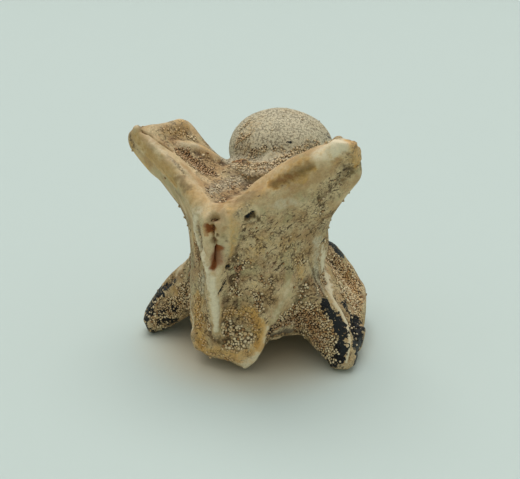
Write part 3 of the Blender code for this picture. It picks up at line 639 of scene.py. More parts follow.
@dataclass
class Surface:
    """A mesh of quads held as arrays, in millimetres."""

    points: Array
    quads: Array
    edges: Array

    @classmethod
    def of(cls, mesh: bpy.types.Mesh) -> "Surface":
        """Reads a mesh, and keeps only its largest connected part.

        Args:
            mesh: A mesh of quads in metres.

        Returns:
            The surface.
        """
        points = np.empty(len(mesh.vertices) * 3)
        mesh.vertices.foreach_get("co", points)
        edges = np.empty(len(mesh.edges) * 2, dtype=int)
        mesh.edges.foreach_get("vertices", edges)
        corners = np.empty(len(mesh.loops), dtype=int)
        mesh.loops.foreach_get("vertex_index", corners)
        points, edges, quads = points.reshape(-1, 3) / MM, edges.reshape(-1, 2), corners.reshape(-1, 4)
        labels = np.arange(len(points))
        while True:
            least = np.minimum(labels[edges[:, 0]], labels[edges[:, 1]])
            spread = labels.copy()
            np.minimum.at(spread, edges[:, 0], least)
            np.minimum.at(spread, edges[:, 1], least)
            spread = spread[spread]
            if np.array_equal(spread, labels):
                break
            labels = spread
        kept = labels == np.bincount(labels).argmax()
        number = np.cumsum(kept) - 1
        return cls(points[kept], number[quads[kept[quads[:, 0]]]], number[edges[kept[edges[:, 0]]]])

    def normals(self) -> Array:
        """The unit normal at each point."""
        a, b, c, d = (self.points[self.quads[:, k]] for k in range(4))
        faces = np.cross(c - a, d - b)
        total = np.zeros_like(self.points)
        for corner in range(4):
            for axis in range(3):
                total[:, axis] += np.bincount(self.quads[:, corner], faces[:, axis], len(total))
        return total / np.maximum(np.linalg.norm(total, axis=1, keepdims=True), TINY)

    def averaged(self, values: Array, passes: int, factor: float = 1.0) -> Array:
        """Spreads values, given as rows, to their neighbours.

        Args:
            values: One row of numbers for each point.
            passes: How often each row moves towards the mean of its neighbours.
            factor: How far it moves each time.

        Returns:
            The spread values.
        """
        first, second = self.edges.T
        count = np.bincount(self.edges.ravel(), minlength=len(values))[:, None]
        for _ in range(passes):
            total = np.empty_like(values)
            for axis in range(values.shape[1]):
                total[:, axis] = np.bincount(first, values[second, axis], len(values))
                total[:, axis] += np.bincount(second, values[first, axis], len(values))
            values = values + (total / count - values) * factor
        return values

    def tree(self) -> BVHTree:
        """The surface as a tree that rays can be cast on."""
        return BVHTree.FromPolygons(self.points.tolist(), self.quads.tolist())


@dataclass(frozen=True)
class Room:
    """The box that the dressed bone may not leave, in millimetres."""

    low: Array
    high: Array
    ease: float = 0.6
    shallow: float = 0.05

    @classmethod
    def of(cls, corners: list[Vector]) -> "Room":
        """The room between two corners given in metres."""
        low, high = (np.array(corner) / MM for corner in corners)
        return cls(low, high)

    def inside(self, points: Array, margin: Array | float = 0.0) -> Array:
        """The points, moved into the box where they lie outside or nearer to its sides than the margin."""
        return np.clip(points, self.low + margin, self.high - margin)

    def along(self, points: Array, ways: Array) -> Array:
        """How far each point may move along its way before it leaves the box.

        Args:
            points: The points.
            ways: A unit vector for each.

        Returns:
            The distances, eased so that a surface doesn't end in a flat.
        """
        gap = np.where(ways > 0, self.high - points, points - self.low)
        reach = (np.maximum(gap, 0.0) / np.maximum(np.abs(ways), self.shallow)).min(axis=1)
        return reach * self.ease


@dataclass
class BoneSkin:
    """The fine skin of the whole bone, fused from the frame's parts."""

    swell: float = 0.26
    merge_digits: int = 5
    voxel: float = 0.13
    smoothing: int = 6
    smoothing_factor: float = 0.5
    lumps: Pattern = Pattern(2.6)
    lump_height: float = 0.07
    pits: Pattern = Pattern(0.55, 1.0)
    pit_depth: float = 0.035
    pit_share: float = 0.4
    grains: Pattern = Pattern(0.3, 7.0)
    grain_height: float = 0.03
    edges: tuple[tuple[float, Pattern], ...] = (
        (0.6, Pattern(0.9)), (0.6, Pattern(0.35, 5.0)), (0.4, Pattern(0.18, 6.0)),
    )
    hollow_passes: int = 24
    hollow_depth: float = 0.1
    broad_passes: int = 180
    fill_passes: int = 420
    broad_depth: float = 0.5
    edge_wear: float = 0.6
    edge_passes: int = 40
    crest: Span = (0.2, 0.9)
    facing: Span = (0.0, 0.45)
    valley: Span = (0.1, 0.9)
    seen: Span = (-0.6, -0.2)
    patches: Pattern = Pattern(2.6, 3.0)
    patch: Span = (0.0, 0.5)
    unseen_patch: Span = (0.0, 0.4)
    stains: Pattern = Pattern(3.2, 9.0)
    stain: Span = (0.1, 0.5)
    grit: float = 0.34
    patch_grit: float = 0.16
    unseen_grit: float = 0.4
    valley_grit: float = 0.35
    seen_ochre: float = 0.2
    unseen_ochre: float = 0.4
    unseen_cream: float = 0.5
    valley_umber: float = 0.45
    ball_margin: float = 0.1
    ball_grit: float = 0.32
    ball_ash: float = 0.8
    tar_patches: Pattern = Pattern(2.2, 13.0)
    tar_patch: Span = (0.28, 0.42)
    tar_height: Span = (6.0, 10.0)

    def swollen(self, mesh: bpy.types.Mesh) -> tuple[Array, Array]:
        """One part, with its points moved out along their normals.

        Args:
            mesh: The part's mesh in metres.

        Returns:
            Its points in millimetres, and its triangles.
        """
        places = np.array([vertex.co for vertex in mesh.vertices]) / MM
        keys, merged = np.unique(places.round(self.merge_digits), axis=0, return_inverse=True)
        mesh.calc_loop_triangles()
        triangles = merged.ravel()[np.array([triangle.vertices for triangle in mesh.loop_triangles])]
        a, b, c = (keys[triangles[:, k]] for k in range(3))
        faces = np.cross(b - a, c - a)
        faces /= np.maximum(np.linalg.norm(faces, axis=1, keepdims=True), TINY)
        total = np.zeros_like(keys)
        for k in range(3):
            np.add.at(total, triangles[:, k], faces)
        total /= np.maximum(np.linalg.norm(total, axis=1, keepdims=True), TINY)
        return keys + total * self.swell, triangles

    def fuse(self, nodes: dict[str, bpy.types.Object]) -> Surface:
        """Swells the parts until the cuts between them close, fuses them, and shrinks the whole back.

        Args:
            nodes: The frame's parts.

        Returns:
            The fused surface.
        """
        points, corners, count = [], [], 0
        for node in nodes.values():
            places, triangles = self.swollen(node.data)
            points.append(places)
            corners.append(triangles + count)
            count += len(places)
        mesh = bpy.data.meshes.new("swollen")
        mesh.from_pydata((np.concatenate(points) * MM).tolist(), [], np.concatenate(corners).tolist())
        swollen = stand("swollen", mesh)
        remesh = swollen.modifiers.new("fuse", "REMESH")
        remesh.mode = "VOXEL"
        remesh.voxel_size = self.voxel * MM
        fused = bpy.data.meshes.new_from_object(swollen.evaluated_get(bpy.context.evaluated_depsgraph_get()))
        bpy.data.objects.remove(swollen)
        surface = Surface.of(fused)
        surface.points = surface.averaged(surface.points, self.smoothing, self.smoothing_factor)
        surface.points -= surface.normals() * self.swell
        surface.points = surface.averaged(surface.points, self.smoothing, self.smoothing_factor)
        return surface

    def wear(self, surface: Surface) -> None:
        """Rounds the sharp edges of the bone.

        Args:
            surface: The bone, whose points are moved.
        """
        depth = self.hollows(surface)
        worn = surface.averaged(surface.points, self.edge_passes)
        share = self.edge_wear * smoothstep(*self.crest, -depth)[:, None]
        surface.points += (worn - surface.points) * share

    def ground(self, surface: Surface, normals: Array, broad: Array, view: PhotoView) -> dict[Layer, Array]:
        """What lies on the bone before any stroke: grit in patches and valleys, and stains on the unseen side.

        Args:
            surface: The smooth bone.
            normals: Its normals.
            broad: Its points, spread so far that only its broad form is left.
            view: The photograph's view.

        Returns:
            The strength of each layer at each point.
        """
        points = surface.points
        valley = smoothstep(*self.valley, np.sum((broad - points) * normals, axis=1) / self.broad_depth)
        unseen = 1 - smoothstep(*self.seen, normals @ view.axes()[2])
        patches = self.patches.at(points)
        stains = self.stains.at(points)
        layers = {layer: np.zeros(len(points)) for layer in Layer}
        layers[Layer.GRIT] = self.grit + self.patch_grit * smoothstep(*self.patch, patches)
        layers[Layer.GRIT] += (
            unseen * self.unseen_grit * smoothstep(*self.unseen_patch, patches) + self.valley_grit * valley
        )
        layers[Layer.OCHRE] = (self.seen_ochre + self.unseen_ochre * unseen) * smoothstep(*self.stain, stains)
        layers[Layer.CREAM] = self.unseen_cream * unseen * smoothstep(*self.stain, -stains)
        layers[Layer.UMBER] = self.valley_umber * valley
        corner, top = (np.array(end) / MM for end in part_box("condyle"))
        ball = np.all((points > corner - self.ball_margin) & (points < top + self.ball_margin), axis=1)
        ball = surface.averaged(ball[:, None].astype(float), self.hollow_passes)[:, 0]
        layers[Layer.GRIT] += (self.ball_grit - layers[Layer.GRIT]) * ball
        layers[Layer.UMBER] *= 1 - ball
        layers[Layer.ASH] = self.ball_ash * ball
        low = 1 - smoothstep(*self.tar_height, points[:, 2])
        layers[Layer.TAR] = unseen * low * smoothstep(*self.tar_patch, self.tar_patches.at(points))
        return layers

    def carve(self, surface: Surface, view: PhotoView, room: Room) -> dict[Layer, Array]:
        """Lays the strokes on the bone and moves its points by their relief and by its natural unevenness.

        Args:
            surface: The smooth bone, whose points are moved.
            view: What turns a stroke's pixels into places.
            room: The box that the bone may not leave.

        Returns:
            The strength of each stain at each point.
        """
        normals = surface.normals()
        tree = surface.tree()
        broad = surface.averaged(surface.points, self.broad_passes)
        ragged = sum(share * pattern.at(surface.points) for share, pattern in self.edges)
        layers = self.ground(surface, normals, broad, view)
        for region in REGIONS:
            for stroke in region.strokes:
                self.lay(stroke, surface.points, normals, view.spots(stroke.path, tree), ragged, layers)
            LOG.info("%s: %d strokes", region.name, len(region.strokes))
        filled = np.sum((surface.averaged(broad, self.fill_passes) - surface.points) * normals, axis=1)
        surface.points += normals * (np.maximum(filled, 0.0) * layers.pop(Layer.FILL))[:, None]
        surface.points += (broad - surface.points) * layers.pop(Layer.SMOOTH)[:, None]
        normals = surface.normals()
        rough = np.clip(layers[Layer.GRIT], 0.0, 1.0) * (1 - layers[Layer.CREAM])
        pits = -np.abs(self.pits.at(surface.points)) * self.pit_depth * (self.pit_share + rough)
        lumps = self.lumps.at(surface.points) * self.lump_height
        grains = self.grains.at(surface.points) * self.grain_height * rough
        rise = layers.pop(Layer.RELIEF) + pits + lumps + grains
        rise = np.minimum(rise, room.along(surface.points, normals))
        surface.points += normals * rise[:, None]
        return layers

    def lay(
        self,
        stroke: Stroke,
        points: Array,
        normals: Array,
        spots: Array,
        ragged: Array,
        layers: dict[Layer, Array],
    ) -> None:
        """Lays one stroke.

        Args:
            stroke: The stroke.
            points: The bone's points.
            normals: Their normals.
            spots: The stroke's path on the bone.
            ragged: The unevenness of a stain's edge at each point.
            layers: The layers, of which the stroke's own is changed.
        """
        margin = spots[:, 6].max() * (1 + stroke.wobble)
        low, high = spots[:, :3].min(axis=0) - margin, spots[:, :3].max(axis=0) + margin
        near = np.flatnonzero(np.all((points > low) & (points < high), axis=1))
        gaps = np.linalg.norm(points[near, None] - spots[None, :, :3], axis=2) / spots[None, :, 6]
        nearest = gaps.argmin(axis=1)
        gap = gaps[np.arange(len(near)), nearest] + stroke.wobble * ragged[near]
        facing = np.sum(normals[near] * spots[nearest, 3:6], axis=1)
        weight = 1 - smoothstep(1 - stroke.fade, 1.0, gap)
        if stroke.layer not in (Layer.SMOOTH, Layer.FILL):
            weight *= smoothstep(*self.facing, facing)
        layer = layers[stroke.layer]
        if stroke.layer is Layer.RELIEF:
            layer[near] += stroke.amount * weight
        elif stroke.amount > 0:
            layer[near] = np.maximum(layer[near], stroke.amount * weight)
        else:
            layer[near] *= 1 + stroke.amount * weight

    def hollows(self, surface: Surface) -> Array:
        """How hollow the bone is at each point, from -1 on a crest to 1 in a pit."""
        middle = surface.averaged(surface.points, self.hollow_passes)
        depth = np.sum((middle - surface.points) * surface.normals(), axis=1)
        return np.clip(depth / self.hollow_depth, -1.0, 1.0)

    def build(self, view: PhotoView, room: Room) -> tuple[Surface, dict[str, Array], bpy.types.Object]:
        """Builds the skin and marks it.

        Args:
            view: The photograph's view.
            room: The box that the bone may not leave.

        Returns:
            The surface, its marks by name, and its object.
        """
        surface = self.fuse(frame["nodes"])
        self.wear(surface)
        layers = self.carve(surface, view, room)
        surface.points = room.inside(surface.points)
        marks = {layer.value: np.clip(strength, 0.0, 1.0) for layer, strength in layers.items()}
        marks["hollow"] = self.hollows(surface)
        mesh = bpy.data.meshes.new("bone_skin")
        mesh.from_pydata((surface.points * MM).tolist(), [], surface.quads.tolist())
        mark(mesh, marks)
        mesh.shade_smooth()
        skin = stand("bone_skin", mesh)
        LOG.info("%s: %d faces", skin.name, len(surface.quads))
        return surface, marks, skin

    def dress(self, skin: bpy.types.Object) -> None:
        """Gives the skin its finish, and lets it stand for the frame's parts.

        Args:
            skin: The skin's object.
        """
        skin.data.materials.append(BoneFinish().material())
        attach(skin, BODY)
        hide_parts(*frame["nodes"])


def mark(mesh: bpy.types.Mesh, marks: dict[str, Array]) -> None:
    """Stores marks as attributes of a mesh's points.

    Args:
        mesh: The mesh.
        marks: One number for each point, by name.
    """
    for name, values in marks.items():
        attribute = mesh.attributes.new(name, "FLOAT", "POINT")
        attribute.data.foreach_set("value", values.astype(np.float32))


@dataclass
class Grains:
    """Grains of sediment that cling to the bone, each a small rounded stone sunk into the crust."""

    tries: int = 110000
    least: float = 0.075
    most: float = 0.17
    closeness: float = 0.78
    stray: float = 0.001
    lift: float = 0.14
    squash: float = 0.8
    unevenness: float = 0.26
    kinds: int = 8
    piece_size: int = 5800
    growth: float = 0.8
    rim: float = 1.3
    foot_shade_top: float = 0.55
    foot_shade_bottom: float = -0.15
    stretch: Span = (0.78, 1.3)
    size_bias: Span = (1.6, 2.6)
    crust: Span = (0.5, 0.85)
    dusting: Span = (0.1, 0.5)
    crest: Span = (0.2, 0.7)
    tar_loss: float = 0.7
    cream_loss: float = 0.8
    stains: tuple[str, ...] = ("ochre", "tar", "rust", "umber", "ash")
    patch_size: Span = (0.18, 0.36)
    patch_middle: Span = (0.25, 0.5)
    seed: int = 7

    def stone(self, rng: np.random.Generator) -> tuple[Array, Array]:
        """A few uneven stones, each an octahedron split once and rounded.

        Args:
            rng: The random numbers.

        Returns:
            The points of each kind of stone, and the faces that they share.
        """
        points = [(1, 0, 0), (0, 1, 0), (-1, 0, 0), (0, -1, 0), (0, 0, 1), (0, 0, -1)]
        faces = []
        middles: dict[tuple[int, int], int] = {}

        def middle(i: int, j: int) -> int:
            """The number of the point half way between two points."""
            key = (min(i, j), max(i, j))
            if key not in middles:
                middles[key] = len(points)
                points.append(tuple((a + b) / 2 for a, b in zip(points[i], points[j])))
            return middles[key]

        for k in range(4):
            for pole in (4, 5):
                a, b = (k, (k + 1) % 4) if pole == 4 else ((k + 1) % 4, k)
                ab, bp, pa = middle(a, b), middle(b, pole), middle(pole, a)
                faces += [(a, ab, pa), (ab, b, bp), (pa, bp, pole), (ab, bp, pa)]
        ball = np.array(points, dtype=float)
        ball /= np.linalg.norm(ball, axis=1, keepdims=True)
        reach = 1 + self.unevenness * rng.uniform(-1, 1, (self.kinds, len(ball), 1))
        stretch = rng.uniform(*self.stretch, (self.kinds, 1, 3))
        return ball[None] * reach * stretch * (1.0, 1.0, self.squash), np.array(faces)

    def scatter(self, surface: Surface, marks: dict[str, Array]) -> list[tuple]:
        """Picks where grains sit, dense where the bone is gritty and never one inside another.

        Args:
            surface: The bone.
            marks: Its marks.

        Returns:
            For each grain its place, its radius and the number of the bone's point beneath it.
        """
        rng = np.random.default_rng(self.seed)
        wanted = smoothstep(*self.crust, marks["grit"])
        wanted += self.stray * smoothstep(*self.dusting, marks["grit"]) * (1 - marks["ash"])
        kept = (1 - self.tar_loss * marks["tar"]) * (1 - self.cream_loss * marks["cream"])
        wanted *= kept * (1 - smoothstep(*self.crest, -marks["hollow"]))
        a, b, c = (surface.points[surface.quads[:, k]] for k in range(3))
        share = np.linalg.norm(np.cross(b - a, c - a), axis=1) * wanted[surface.quads[:, 0]]
        picked = rng.choice(len(share), self.tries, p=share / share.sum())
        across, along = rng.uniform(0, 1, (2, self.tries, 1))
        d = surface.points[surface.quads[picked, 3]]
        places = (a[picked] * (1 - across) + b[picked] * across) * (1 - along)
        places += (d * (1 - across) + c[picked] * across) * along
        radii = self.least + (self.most - self.least) * rng.beta(*self.size_bias, self.tries)
        radii *= 1 + self.growth * marks["coarse"][surface.quads[picked, 0]]
        cells = np.floor(places / (2 * self.most * (1 + self.growth))).astype(int)
        taken = defaultdict(list)
        chosen = []
        steps = [(i, j, k) for i in (-1, 0, 1) for j in (-1, 0, 1) for k in (-1, 0, 1)]
        for n in range(self.tries):
            x, y, z = places[n].tolist()
            radius = float(radii[n])
            i, j, k = cells[n].tolist()
            crowded = any(
                (x - other[0]) ** 2 + (y - other[1]) ** 2 + (z - other[2]) ** 2
                < ((radius + other[3]) * self.closeness) ** 2
                for di, dj, dk in steps
                for other in taken[i + di, j + dj, k + dk]
            )
            if not crowded:
                taken[i, j, k].append((x, y, z, radius))
                chosen.append((places[n], radius, surface.quads[picked[n], 0]))
        return chosen

    def build(self, surface: Surface, marks: dict[str, Array], room: Room) -> list[bpy.types.Object]:
        """Builds the grains as a few joined meshes.

        Args:
            surface: The bone.
            marks: Its marks.
            room: The box that no grain may leave.

        Returns:
            The objects.
        """
        rng = np.random.default_rng(self.seed)
        stones, faces = self.stone(rng)
        normals = surface.normals()
        chosen = self.scatter(surface, marks)
        chosen.sort(key=lambda grain: grain[0][2])
        pieces = []
        for first in range(0, len(chosen), self.piece_size):
            grains = chosen[first:first + self.piece_size]
            count = len(grains)
            roots = np.array([grain[0] for grain in grains])
            radii = np.array([grain[1] for grain in grains])[:, None]
            under = np.array([grain[2] for grain in grains])
            up = normals[under]
            side = np.cross(up, rng.normal(size=(count, 3)))
            side /= np.linalg.norm(side, axis=1, keepdims=True)
            turn = np.stack([side, np.cross(up, side), up], axis=1)
            kinds = rng.integers(0, self.kinds, count)
            local = stones[kinds] * radii[:, :, None]
            middles = room.inside(roots + up * radii * self.lift, radii * self.rim)
            points = np.einsum("nij,njk->nik", local, turn) + middles[:, None]
            corners = faces[None] + (np.arange(count) * stones.shape[1])[:, None, None]
            name = f"grains_{len(pieces) + 1}"
            mesh = bpy.data.meshes.new(name)
            mesh.from_pydata((points.reshape(-1, 3) * MM).tolist(), [], corners.reshape(-1, 3).tolist())
            own = {stain: np.repeat(marks[stain][under], stones.shape[1]) for stain in self.stains}
            own["shade"] = np.repeat(rng.uniform(0, 1, count), stones.shape[1])
            # Painted shade: each grain darkens towards its base, where it meets the bone.
            own["foot_shade"] = 1 - smoothstep(self.foot_shade_bottom, self.foot_shade_top, stones[kinds][:, :, 2].ravel())
            mark(mesh, own)
            self.unwrap(mesh, stones[0], faces, count)
            mesh.shade_smooth()
            pieces.append(stand(name, mesh))
            LOG.info("%s: %d grains", name, count)
        return pieces

    def unwrap(self, mesh: bpy.types.Mesh, stone: Array, faces: Array, count: int) -> None:
        """Gives each grain a patch of its own in the map, its upper half beside its lower half.

        Args:
            mesh: The grains' mesh.
            stone: One stone's points.
            faces: Its faces.
            count: How many grains there are.
        """
        cells = math.ceil(math.sqrt(count))
        lower = (stone[faces].mean(axis=1)[:, 2] < 0)[:, None]
        flat = stone[faces][:, :, :2] * self.patch_size + self.patch_middle
        flat[:, :, 0] += 0.5 * lower
        number = np.arange(count)
        corner = np.stack([number % cells, number // cells], axis=1)[:, None, None]
        places = (flat[None] + corner) / cells
        layer = mesh.uv_layers.new(name="OFBake")
        layer.data.foreach_set("uv", places.astype(np.float32).ravel())

    def dress(self, pieces: list[bpy.types.Object]) -> None:
        """Gives the grains their finish, and lets them ride on the bone.

        Args:
            pieces: The grains' objects.
        """
        material = GrainFinish().material()
        for piece in pieces:
            piece.data.materials.append(material)
            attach(piece, BODY)


class Wiring:
    """The nodes of one finish while they are wired."""

    SPECULAR = 0.3
    FIRST_COLOUR, SECOND_COLOUR, MIXED_COLOUR = 6, 7, 2

    def __init__(self, name: str) -> None:
        """Makes a material with its Principled shader and coordinates in millimetres."""
        self.material = bpy.data.materials.new(name)
        self.material.use_nodes = True
        self.tree = self.material.node_tree
        self.shader = self.tree.nodes["Principled BSDF"]
        self.shader.inputs["Specular IOR Level"].default_value = self.SPECULAR
        place = self.tree.nodes.new("ShaderNodeTexCoord").outputs["Object"]
        self.place = self.vector("SCALE", place, 1 / MM).outputs[0]

    def feed(self, socket: Socket, value: object) -> None:
        """Links a socket to an output, or sets it to a number or colour."""
        if isinstance(value, Socket):
            self.tree.links.new(value, socket)
        else:
            socket.default_value = value

    def vector(self, operation: str, first: object, second: object) -> bpy.types.Node:
        """One step of arithmetic with vectors.

        Args:
            operation: The Vector Math node's operation.
            first: Its first vector.
            second: Its second, or the number that it is scaled by.

        Returns:
            The node.
        """
        node = self.tree.nodes.new("ShaderNodeVectorMath")
        node.operation = operation
        self.feed(node.inputs[0], first)
        self.feed(node.inputs["Scale" if operation == "SCALE" else 1], second)
        return node

    def mark(self, name: str) -> Socket:
        """The bone's mark of that name.

        Args:
            name: The attribute's name.

        Returns:
            Its value.
        """
        node = self.tree.nodes.new("ShaderNodeAttribute")
        node.attribute_name = name
        return node.outputs["Fac"]

    def stretched(self, way: tuple[float, float, float], share: float) -> Socket:
        """Coordinates in which a pattern is drawn out along one way.

        Args:
            way: The unit vector of the way.
            share: How much of the distance along it is taken away.

        Returns:
            The coordinates.
        """
        along = self.vector("DOT_PRODUCT", self.place, way).outputs["Value"]
        shift = self.vector("SCALE", way, self.sum("MULTIPLY", along, -share)).outputs[0]
        return self.vector("ADD", self.place, shift).outputs[0]

    def noise(
        self, size: float, detail: float = 2.0, roughness: float = 0.55, bend: float = 0.0, place: object = None
    ) -> Socket:
        """Noise from 0 to 1 over the bone.

        Args:
            size: The size of its largest bumps in millimetres.
            detail: How many finer octaves it has.
            roughness: How strong those are.
            bend: How far it is distorted.
            place: Other coordinates than the bone's own.

        Returns:
            Its value.
        """
        node = self.tree.nodes.new("ShaderNodeTexNoise")
        self.feed(node.inputs["Vector"], place or self.place)
        node.inputs["Scale"].default_value = 1 / size
        node.inputs["Detail"].default_value = detail
        node.inputs["Roughness"].default_value = roughness
        node.inputs["Distortion"].default_value = bend
        return node.outputs["Fac"]

    def distance(self, middle: tuple[float, float, float]) -> Socket:
        """The distance from a place, in millimetres.

        Args:
            middle: The place.

        Returns:
            The distance.
        """
        return self.vector("DISTANCE", self.place, middle).outputs["Value"]

    def cells(self, size: float) -> Socket:
        """The distance to the middle of the nearest of many cells.

        Args:
            size: The size of a cell in millimetres.

        Returns:
            The distance as a share of that size.
        """
        node = self.tree.nodes.new("ShaderNodeTexVoronoi")
        self.feed(node.inputs["Vector"], self.place)
        node.inputs["Scale"].default_value = 1 / size
        return node.outputs["Distance"]

    def sum(self, operation: str, first: object, second: object = 0.0, third: object = 0.0) -> Socket:
        """One step of arithmetic.

        Args:
            operation: The Math node's operation.
            first: Its first number or output.
            second: Its second.
            third: Its third, where the operation has one.

        Returns:
            The result.
        """
        node = self.tree.nodes.new("ShaderNodeMath")
        node.operation = operation
        for socket, value in zip(node.inputs, (first, second, third)):
            self.feed(socket, value)
        return node.outputs[0]

    def ramp(self, value: object, low: float, high: float, start: float = 0.0, end: float = 1.0) -> Socket:
        """Maps a value smoothly from one range to another.

        Args:
            value: What is mapped.
            low: Where the mapping starts.
            high: Where it ends.
            start: The result at low.
            end: The result at high.

        Returns:
            The mapped value.
        """
        node = self.tree.nodes.new("ShaderNodeMapRange")
        node.interpolation_type = "SMOOTHSTEP"
        for socket, number in zip(node.inputs, (value, low, high, start, end)):
            self.feed(socket, number)
        return node.outputs["Result"]

    def mix(self, share: object, first: object, second: object, blend: str = "MIX") -> Socket:
        """Mixes two colours.

        Args:
            share: How much of the second colour shows.
            first: The first colour.
            second: The second colour.
            blend: How they are combined.

        Returns:
            The mixed colour.
        """
        node = self.tree.nodes.new("ShaderNodeMix")
        node.data_type = "RGBA"
        node.blend_type = blend
        self.feed(node.inputs["Factor"], share)
        self.feed(node.inputs[self.FIRST_COLOUR], first)
        self.feed(node.inputs[self.SECOND_COLOUR], second)
        return node.outputs[self.MIXED_COLOUR]

    def raise_by(self, height: object, distance: float) -> Socket:
        """A bump of the surface.

        Args:
            height: The height from 0 to 1.
            distance: How many millimetres a height of 1 stands for.

        Returns:
            The normal.
        """
        node = self.tree.nodes.new("ShaderNodeBump")
        node.inputs["Distance"].default_value = distance * MM
        node.inputs["Strength"].default_value = 1.0
        self.feed(node.inputs["Height"], height)
        return node.outputs["Normal"]


@dataclass(frozen=True)
class Stain:
    """How a mark colours the bone, from its low strength to its high one.

    Noise makes the stain's edge ragged: fine noise, or broad noise where the stain lies in wide blots.
    """

    mark: str
    colour: Colour
    raggedness: float
    low: float
    high: float
    most: float = 1.0
    blots: bool = False


